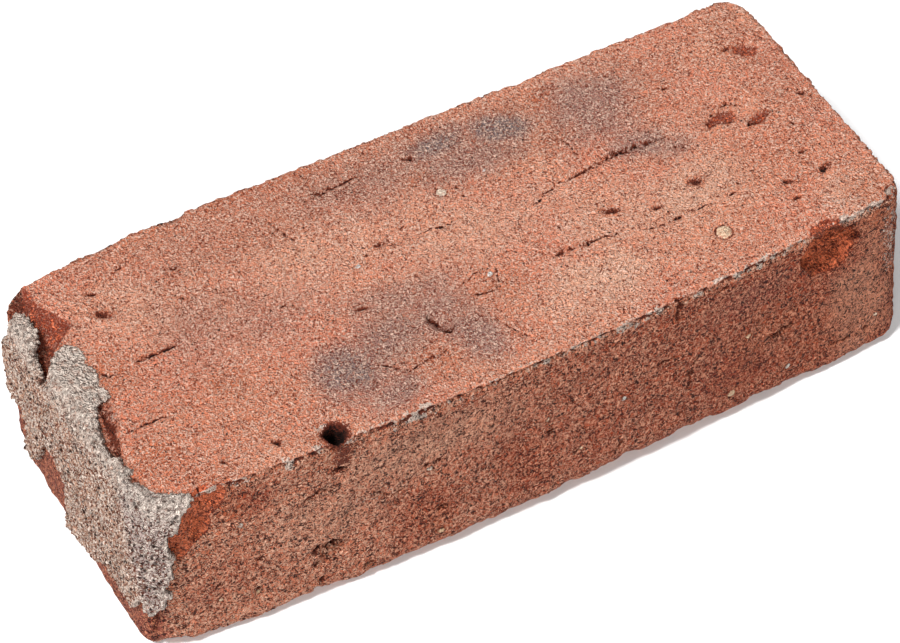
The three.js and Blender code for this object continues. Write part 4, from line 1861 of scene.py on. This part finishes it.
@dataclass(frozen=True)
class Finish:
    """What both finishes share: a rough, dull surface whose grain is also felt.

    Attributes:
        roughness: Roughness of the surface.
        sheen: Its reflectance at right angles, as the shader's specular level.
        bump_depth: Depth that a height of 1 stands for.
    """

    roughness: float = 0.94
    sheen: float = 0.2
    bump_depth: float = 1.0 * MM

    def start(self, name: str) -> tuple[bpy.types.Material, NodeDesk, Node]:
        """Open a material and give it with its desk and its shader.

        Args:
            name: Its name.

        Returns:
            The material, its desk and its shader.
        """
        material = bpy.data.materials.new(name)
        material.use_nodes = True
        material.node_tree.nodes.clear()
        desk = NodeDesk(material.node_tree)
        shader = desk.add("ShaderNodeBsdfPrincipled")
        desk.join(shader.outputs[0], desk.add("ShaderNodeOutputMaterial"), "Surface")
        shader.inputs["Roughness"].default_value = self.roughness
        shader.inputs["Specular IOR Level"].default_value = self.sheen
        return material, desk, shader

    def emboss(self, desk: NodeDesk, shader: Node, height: Socket) -> None:
        """Give the shader the bump of a height.

        Args:
            desk: The material's desk.
            shader: Its shader.
            height: The height.
        """
        bump = desk.add("ShaderNodeBump")
        bump.inputs["Strength"].default_value = 1.0
        bump.inputs["Distance"].default_value = self.bump_depth
        desk.join(height, bump, "Height")
        desk.join(bump.outputs[0], shader, "Normal")


@dataclass(frozen=True)
class ClayFinish(Finish):
    """Colours and grain of the fired clay."""

    bed: Colour = srgb(226, 150, 120)
    bed_red: Colour = srgb(220, 134, 106)
    bed_pale: Colour = srgb(236, 184, 158)
    bed_brown: Colour = srgb(176, 112, 90)
    face: Colour = srgb(222, 136, 104)
    # The dark face tone serves the browner zones and also the painted shade over the header.
    face_dark: Colour = srgb(160, 64, 34)
    face_pale: Colour = srgb(222, 168, 142)
    fresh: Colour = srgb(240, 126, 84)
    # Darker raw clay, made darker partly as painted shade on the flake at the head's back corner.
    fresh_dark: Colour = srgb(134, 57, 39)
    flush: Colour = srgb(192, 104, 68)
    # Grey of the fire marks, also laid over the header as painted shade.
    soot_and_shade: Colour = srgb(114, 104, 106)
    # Painted shade in pits, tears, the deep hole, stone seams and crumbled arrises: a red-brown step at their
    # mouths, partly the torn clay's own colour, then near black deep inside.
    torn_clay_and_shade: Colour = srgb(120, 54, 36)
    hollow_shade: Colour = srgb(34, 15, 10)
    # Gaps between grains: partly dark clay, partly painted shade in the crevices, darker on the upright
    # faces.
    gap: Colour = srgb(112, 40, 22)
    gap_face: Colour = srgb(48, 16, 9)
    # Painted shade in the pinholes.
    pore_shade: Colour = srgb(34, 11, 7)
    # Pale ridges of the grain: partly paler grains, partly painted highlight on the raised grain.
    pale: Colour = srgb(232, 194, 174)
    pale_face: Colour = srgb(244, 196, 168)
    pale_face_end: Colour = srgb(226, 144, 108)
    bump_depth: float = 1.5 * MM
    shade_low: Colour = (0.78, 0.66, 0.58, 1.0)
    shade_high: Colour = (1.26, 1.24, 1.2, 1.0)
    # Pale dust, also used for the painted highlight along the front upper arris.
    dust_and_highlight: Colour = srgb(226, 200, 184)
    cream: Colour = srgb(255, 216, 174)
    chalk: Colour = srgb(236, 232, 226)

    def _ground(self, desk: NodeDesk, cloud: Node, speckle: Socket) -> Socket:
        """Colour of the sound skin: beds, upright faces, browner zones, orange patches and soot; the brown
        and soot over the header are painted shade.

        Args:
            desk: The material's desk.
            cloud: The cloudy mottle.
            speckle: The fine speckle.

        Returns:
            The colour.
        """
        upright, brown_and_shade = desk.mask("upright"), desk.mask("brown_and_shade")

        def patch(key: str, low: float, high: float) -> Socket:
            """A mask, thinned where the speckle is low."""
            return desk.times(desk.mask(key), desk.ramp(speckle, low, high))

        bed = desk.tint(cloud.outputs["Broad"], self.bed, self.bed_red)
        bed = desk.tint(patch("brown_and_shade", -0.5, 0.8), bed, self.bed_brown)
        dark = desk.line(desk.ramp(cloud.outputs["Small"], 0.0, 1.0), 0.3, brown_and_shade)
        face = desk.tint(desk.ramp(dark, 0.0, 1.1), self.face, self.face_dark)
        colour = desk.tint(upright, bed, face)
        pale = desk.tint(upright, self.bed_pale, self.face_pale)
        colour = desk.tint(patch("pale", -0.4, 0.8), colour, pale)
        colour = desk.tint(patch("flush", -0.3, 0.9), colour, self.flush)
        return desk.tint(patch("soot_and_shade", -0.5, 0.8), colour, self.soot_and_shade)

    def _ridged(self, desk: NodeDesk, colour: Socket, raw: Socket, ridge: Socket) -> Socket:
        """Lay the pale ridges of the grain over the skin: partly paler grains, partly painted highlight on
        the raised grain.

        Args:
            desk: The material's desk.
            colour: The colour so far.
            raw: How broken the clay is.
            ridge: The ridges.

        Returns:
            The colour.
        """
        upright, worn = desk.mask("upright"), desk.ramp(raw, 1.4, 0.0)
        pale_face = desk.tint(desk.mask("brown_and_shade"), self.pale_face, self.pale_face_end)
        ridges = desk.times(desk.times(ridge, worn), desk.line(upright, 0.1, 0.8))
        return desk.tint(ridges, colour, desk.tint(upright, self.pale, pale_face))

    def _pitted(self, desk: NodeDesk, colour: Socket, raw: Socket, gap: Socket, shaded_pores: Node) -> Socket:
        """Open dark gaps between the grains, partly dark clay and partly painted shade in the crevices, and
        paint shade into the pinholes.

        Args:
            desk: The material's desk.
            colour: The colour so far.
            raw: How broken the clay is.
            gap: The gaps.
            shaded_pores: The pinholes, whose dark is painted shade.

        Returns:
            The colour.
        """
        upright, worn = desk.mask("upright"), desk.ramp(raw, 1.4, 0.0)
        # Painted shade in the crevices between grains, partly dark clay.
        gaps = desk.times(gap, desk.line(raw, -0.4, 0.95))
        colour = desk.tint(gaps, colour, desk.tint(upright, self.gap, self.gap_face))
        # Painted shade in the pinholes.
        desk.join(desk.times(desk.line(upright, 0.24, 0.08), worn), shaded_pores, "Share")
        return desk.tint(desk.times(shaded_pores.outputs["Pore"], 0.9), colour, self.pore_shade)

    def _marked(self, desk: NodeDesk, colour: Socket, speckle: Socket, tone: Socket) -> Socket:
        """Colour the stones, and paint shade into the insides of pits and tears, the deep hole, stone seams
        and crumbled arrises.

        Args:
            desk: The material's desk.
            colour: The colour so far.
            speckle: The fine speckle.
            tone: Tone of the single grains.

        Returns:
            The colour.
        """
        stone = desk.ramp(desk.line(speckle, 0.1, desk.mask("stone")), 0.52, 0.6)
        gritty = desk.tint(desk.mask("chalk"), self.cream, self.chalk)
        gritty = desk.tint(desk.times(desk.ramp(tone, 0.5, 0.2), 0.5), gritty, self.flush)
        colour = desk.tint(stone, colour, gritty)
        # Painted shade inside the hollows: a red-brown step, then near black.
        hollow_shade = desk.stirred(desk.mask("hollow_shade"), speckle, 0.35)
        colour = desk.tint(desk.ramp(hollow_shade, 0.4, 0.54), colour, self.torn_clay_and_shade)
        return desk.tint(desk.ramp(hollow_shade, 0.6, 0.8), colour, self.hollow_shade)

    def build(self, groups: ShaderGroups) -> bpy.types.Material:
        """Make the material.

        Args:
            groups: The shared effects.

        Returns:
            The material.
        """
        material, desk, shader = self.start("fired_clay_worn")
        upright, cloud = desk.mask("upright"), desk.group(groups.mottle, Clouds_per_metre=38.0)
        fine = desk.group(groups.grain, Grains_per_metre=1550.0, Bend=1.0, Coarse=0.25)
        bold = desk.group(groups.grain, Grains_per_metre=1150.0, Bend=1.2, Coarse=0.5)
        opened = desk.stirred(-0.035, cloud.outputs["Small"], 0.05)
        desk.join(opened, fine, "Open")
        desk.join(desk.maths("ADD", opened, 0.06), bold, "Open")
        tone, cluster, gap, ridge, height = (
            desk.blend(upright, fine.outputs[key], bold.outputs[key])
            for key in ("Tone", "Cluster", "Gap", "Ridge", "Height")
        )
        speckle = desk.line(cluster, 0.35, desk.times(tone, 0.65))

        raw = desk.ramp(desk.stirred(desk.mask("fresh"), speckle, 0.4), 0.25, 0.45)
        bright = desk.line(desk.mask("fresh"), 1.3, desk.line(speckle, 1.4, -1.25))
        broken = desk.tint(desk.ramp(bright, 0.25, 0.75), self.fresh_dark, self.fresh)
        colour = desk.tint(raw, self._ground(desk, cloud, speckle), broken)
        colour = desk.tint(1.0, colour, desk.tint(speckle, self.shade_low, self.shade_high), "MULTIPLY")
        colour = self._ridged(desk, colour, raw, ridge)
        # Dust, and the painted highlight along the front upper arris.
        dust_and_highlight = desk.ramp(desk.stirred(desk.mask("dust_and_highlight"), speckle, 0.9), 0.45, 0.65)
        colour = desk.tint(dust_and_highlight, colour, self.dust_and_highlight)
        shaded_pores = desk.group(groups.pinholes, Holes_per_metre=850.0, Width=0.28)
        colour = self._pitted(desk, colour, raw, gap, shaded_pores)
        desk.join(self._marked(desk, colour, speckle, tone), shader, "Base Color")
        self.emboss(desk, shader, desk.times(height, desk.line(upright, 1.8, 1.0)))
        return material


@dataclass(frozen=True)
class MortarFinish(Finish):
    """Colours and grain of the old lime mortar."""

    body: Colour = srgb(202, 145, 118)
    body_pale: Colour = srgb(216, 176, 150)
    # Greyer, cooler tone where the crust laps onto the front face: painted shade.
    lap: Colour = srgb(186, 168, 164)
    sand: Colour = srgb(140, 92, 70)
    # Pale tone for the crest, and for the grain's ridges, which are partly painted highlight.
    light: Colour = srgb(246, 229, 215)
    # Grain gaps, partly dark sand and partly painted shade, and pores, painted shade.
    gap: Colour = srgb(94, 41, 25)
    hole: Colour = srgb(40, 16, 10)
    bump_depth: float = 2.6 * MM

    def build(self, groups: ShaderGroups) -> bpy.types.Material:
        """Make the material.

        Args:
            groups: The shared effects.

        Returns:
            The material.
        """
        material, desk, shader = self.start("old_mortar_sandy")
        grain = desk.group(groups.grain, Grains_per_metre=1200.0, Bend=1.0, Coarse=1.0, Open=0.02)
        holes = desk.group(groups.pinholes, Holes_per_metre=650.0, Share=0.45, Width=0.34)
        cloud = desk.group(groups.mottle, Clouds_per_metre=80.0)
        tone = grain.outputs["Tone"]

        colour = desk.tint(cloud.outputs["Small"], self.body, self.body_pale)
        # Painted shade on the lap over the front face.
        colour = desk.tint(desk.times(desk.mask("lap"), 0.85), colour, self.lap)
        colour = desk.tint(desk.ramp(tone, 0.45, 0.15), colour, self.sand)
        crest = desk.times(desk.mask("crest"), desk.ramp(cloud.outputs["Small"], -0.4, 0.6))
        colour = desk.tint(crest, colour, self.light)
        # Ridges: partly pale lime, partly painted highlight.
        colour = desk.tint(desk.times(grain.outputs["Ridge"], 0.85), colour, self.light)
        # Pores and grain gaps: painted shade, the gaps partly dark sand.
        pore = desk.times(desk.mask("pore"), desk.ramp(tone, 0.9, 0.4))
        dark = desk.maths("MAXIMUM", holes.outputs["Pore"], pore)
        clogged = desk.ramp(desk.mask("crest"), 2.0, 0.0)
        for share, tinge in ((grain.outputs["Gap"], self.gap), (dark, self.hole)):
            colour = desk.tint(desk.times(desk.times(share, 0.9), clogged), colour, tinge)
        desk.join(colour, shader, "Base Color")
        self.emboss(desk, shader, desk.line(holes.outputs["Pore"], -0.5, grain.outputs["Height"]))
        return material


# --------------------------------------------------------------------------- the studio


@dataclass
class Studio:
    """Floor, light and camera.

    Attributes:
        place: Where the camera stands, in millimetres.
        right: The picture's own rightward direction.
        above: The picture's own upward direction.
        ahead: The way the camera looks.
        lens: Focal length on a 36 mm wide sensor.
        sky: Strength of the even light from all round.
        backdrop: Strength of the white that is seen behind it all.
        key: Strength of the main light.
        key_from: Where the main light comes from.
        key_spread: How wide it looks, in degrees.
        fill: Strength of the fill light.
        fill_from: Where the fill light comes from.
        fill_spread: How wide it looks, in degrees.
        floor_half: Half the width of the floor, in metres.
        floor_tone: Paleness of the floor.
    """

    place: Place = (-331.12, -658.74, 858.91)
    right: Place = (0.88020, -0.47381, -0.02748)
    above: Place = (0.37044, 0.64966, 0.66387)
    ahead: Place = (0.29669, 0.59452, -0.74734)
    lens: float = 160.0
    sky: float = 0.36
    backdrop: float = 1.0
    key: float = 3.45
    key_from: Place = (-0.5, -0.15, 0.9)
    key_spread: float = 10.0
    fill: float = 1.58
    fill_from: Place = (-0.5, -0.9, 0.5)
    fill_spread: float = 30.0
    floor_half: float = 3.0
    floor_tone: float = 0.93

    def camera(self) -> None:
        """Set the camera at its place, turned to its own directions."""
        data = bpy.data.cameras.new("view")
        data.lens = self.lens
        data.sensor_width = 36.0
        data.sensor_fit = "HORIZONTAL"
        data.clip_start = 0.05
        data.clip_end = 20.0
        obj = bpy.data.objects.new("view", data)
        turn = Matrix((self.right, self.above, [-v for v in self.ahead])).transposed()
        obj.matrix_world = Matrix.Translation(Vector(self.place) * MM) @ turn.to_4x4()
        bpy.context.scene.collection.objects.link(obj)
        bpy.context.scene.camera = obj

    def _sun(self, name: str, strength: float, source: Sequence[float], spread: float) -> None:
        """Place one soft lamp.

        Args:
            name: Its name.
            strength: Its strength.
            source: Where it comes from.
            spread: How wide it looks, in degrees.
        """
        data = bpy.data.lights.new(name, "SUN")
        data.energy = strength
        data.angle = math.radians(spread)
        obj = bpy.data.objects.new(name, data)
        obj.rotation_euler = Vector(source).to_track_quat("Z", "Y").to_euler()
        bpy.context.scene.collection.objects.link(obj)

    def lights(self) -> None:
        """Set the lamps and the even world light."""
        self._sun("key", self.key, self.key_from, self.key_spread)
        self._sun("fill", self.fill, self.fill_from, self.fill_spread)
        world = bpy.data.worlds.new("studio")
        bpy.context.scene.world = world
        world.use_nodes = True
        tree = world.node_tree
        tree.nodes.clear()
        desk = NodeDesk(tree)
        path = desk.add("ShaderNodeLightPath")
        seen = desk.maths("MAXIMUM", path.outputs["Is Camera Ray"], path.outputs["Is Glossy Ray"])
        seen = desk.maths("MAXIMUM", seen, path.outputs["Is Transmission Ray"])
        mix = desk.add("ShaderNodeMixShader")
        desk.join(seen, mix, 0)
        for slot, strength in ((1, self.sky), (2, self.backdrop)):
            white = desk.add("ShaderNodeBackground")
            desk.feed(white, "Color", (1.0, 1.0, 1.0, 1.0))
            desk.feed(white, "Strength", strength)
            desk.join(white.outputs[0], mix, slot)
        out = desk.add("ShaderNodeOutputWorld")
        desk.join(mix.outputs[0], out, "Surface")

    def floor(self) -> None:
        """Lay a wide pale floor that keeps the shadow."""
        half = self.floor_half
        mesh = bpy.data.meshes.new("studio_floor")
        corners = [(-half, -half, 0.0), (half, -half, 0.0), (half, half, 0.0), (-half, half, 0.0)]
        mesh.from_pydata(corners, [], [(0, 1, 2, 3)])
        obj = bpy.data.objects.new("studio_floor", mesh)
        bpy.context.scene.collection.objects.link(obj)
        material = bpy.data.materials.new("studio_floor_pale")
        material.use_nodes = True
        shader = material.node_tree.nodes["Principled BSDF"]
        shader.inputs["Base Color"].default_value = (self.floor_tone,) * 3 + (1.0,)
        shader.inputs["Roughness"].default_value = 1.0
        shader.inputs["Specular IOR Level"].default_value = 0.0
        obj.data.materials.append(material)


# --------------------------------------------------------------------------- making it all


def clay_form(head_growth: float = 1.1, tail_growth: float = 0.5) -> ClayForm:
    """Take the clay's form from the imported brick's box.

    Args:
        head_growth: How far the sunk skin asks the form to stand out past the box at the head.
        tail_growth: The same at the tail.

    Returns:
        The form.
    """
    low, high = (np.array(corner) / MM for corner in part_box("brick"))
    return ClayForm(low - np.array([head_growth, 0.0, 0.0]), high + np.array([tail_growth, 0.0, 0.0]))


def main() -> None:
    """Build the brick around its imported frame, and stage it."""
    logging.basicConfig(level=logging.INFO, format="%(name)s: %(message)s")
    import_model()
    bpy.context.scene.view_settings.view_transform = "Standard"

    studio = Studio()
    studio.camera()
    studio.floor()
    studio.lights()

    form = clay_form()
    groups = ShaderGroups()
    for piece, finish in ((FiredBrick(form), ClayFinish()), (MortarCrust(form), MortarFinish())):
        piece.dress(piece.build(), finish.build(groups))


if __name__ == "__main__":
    main()
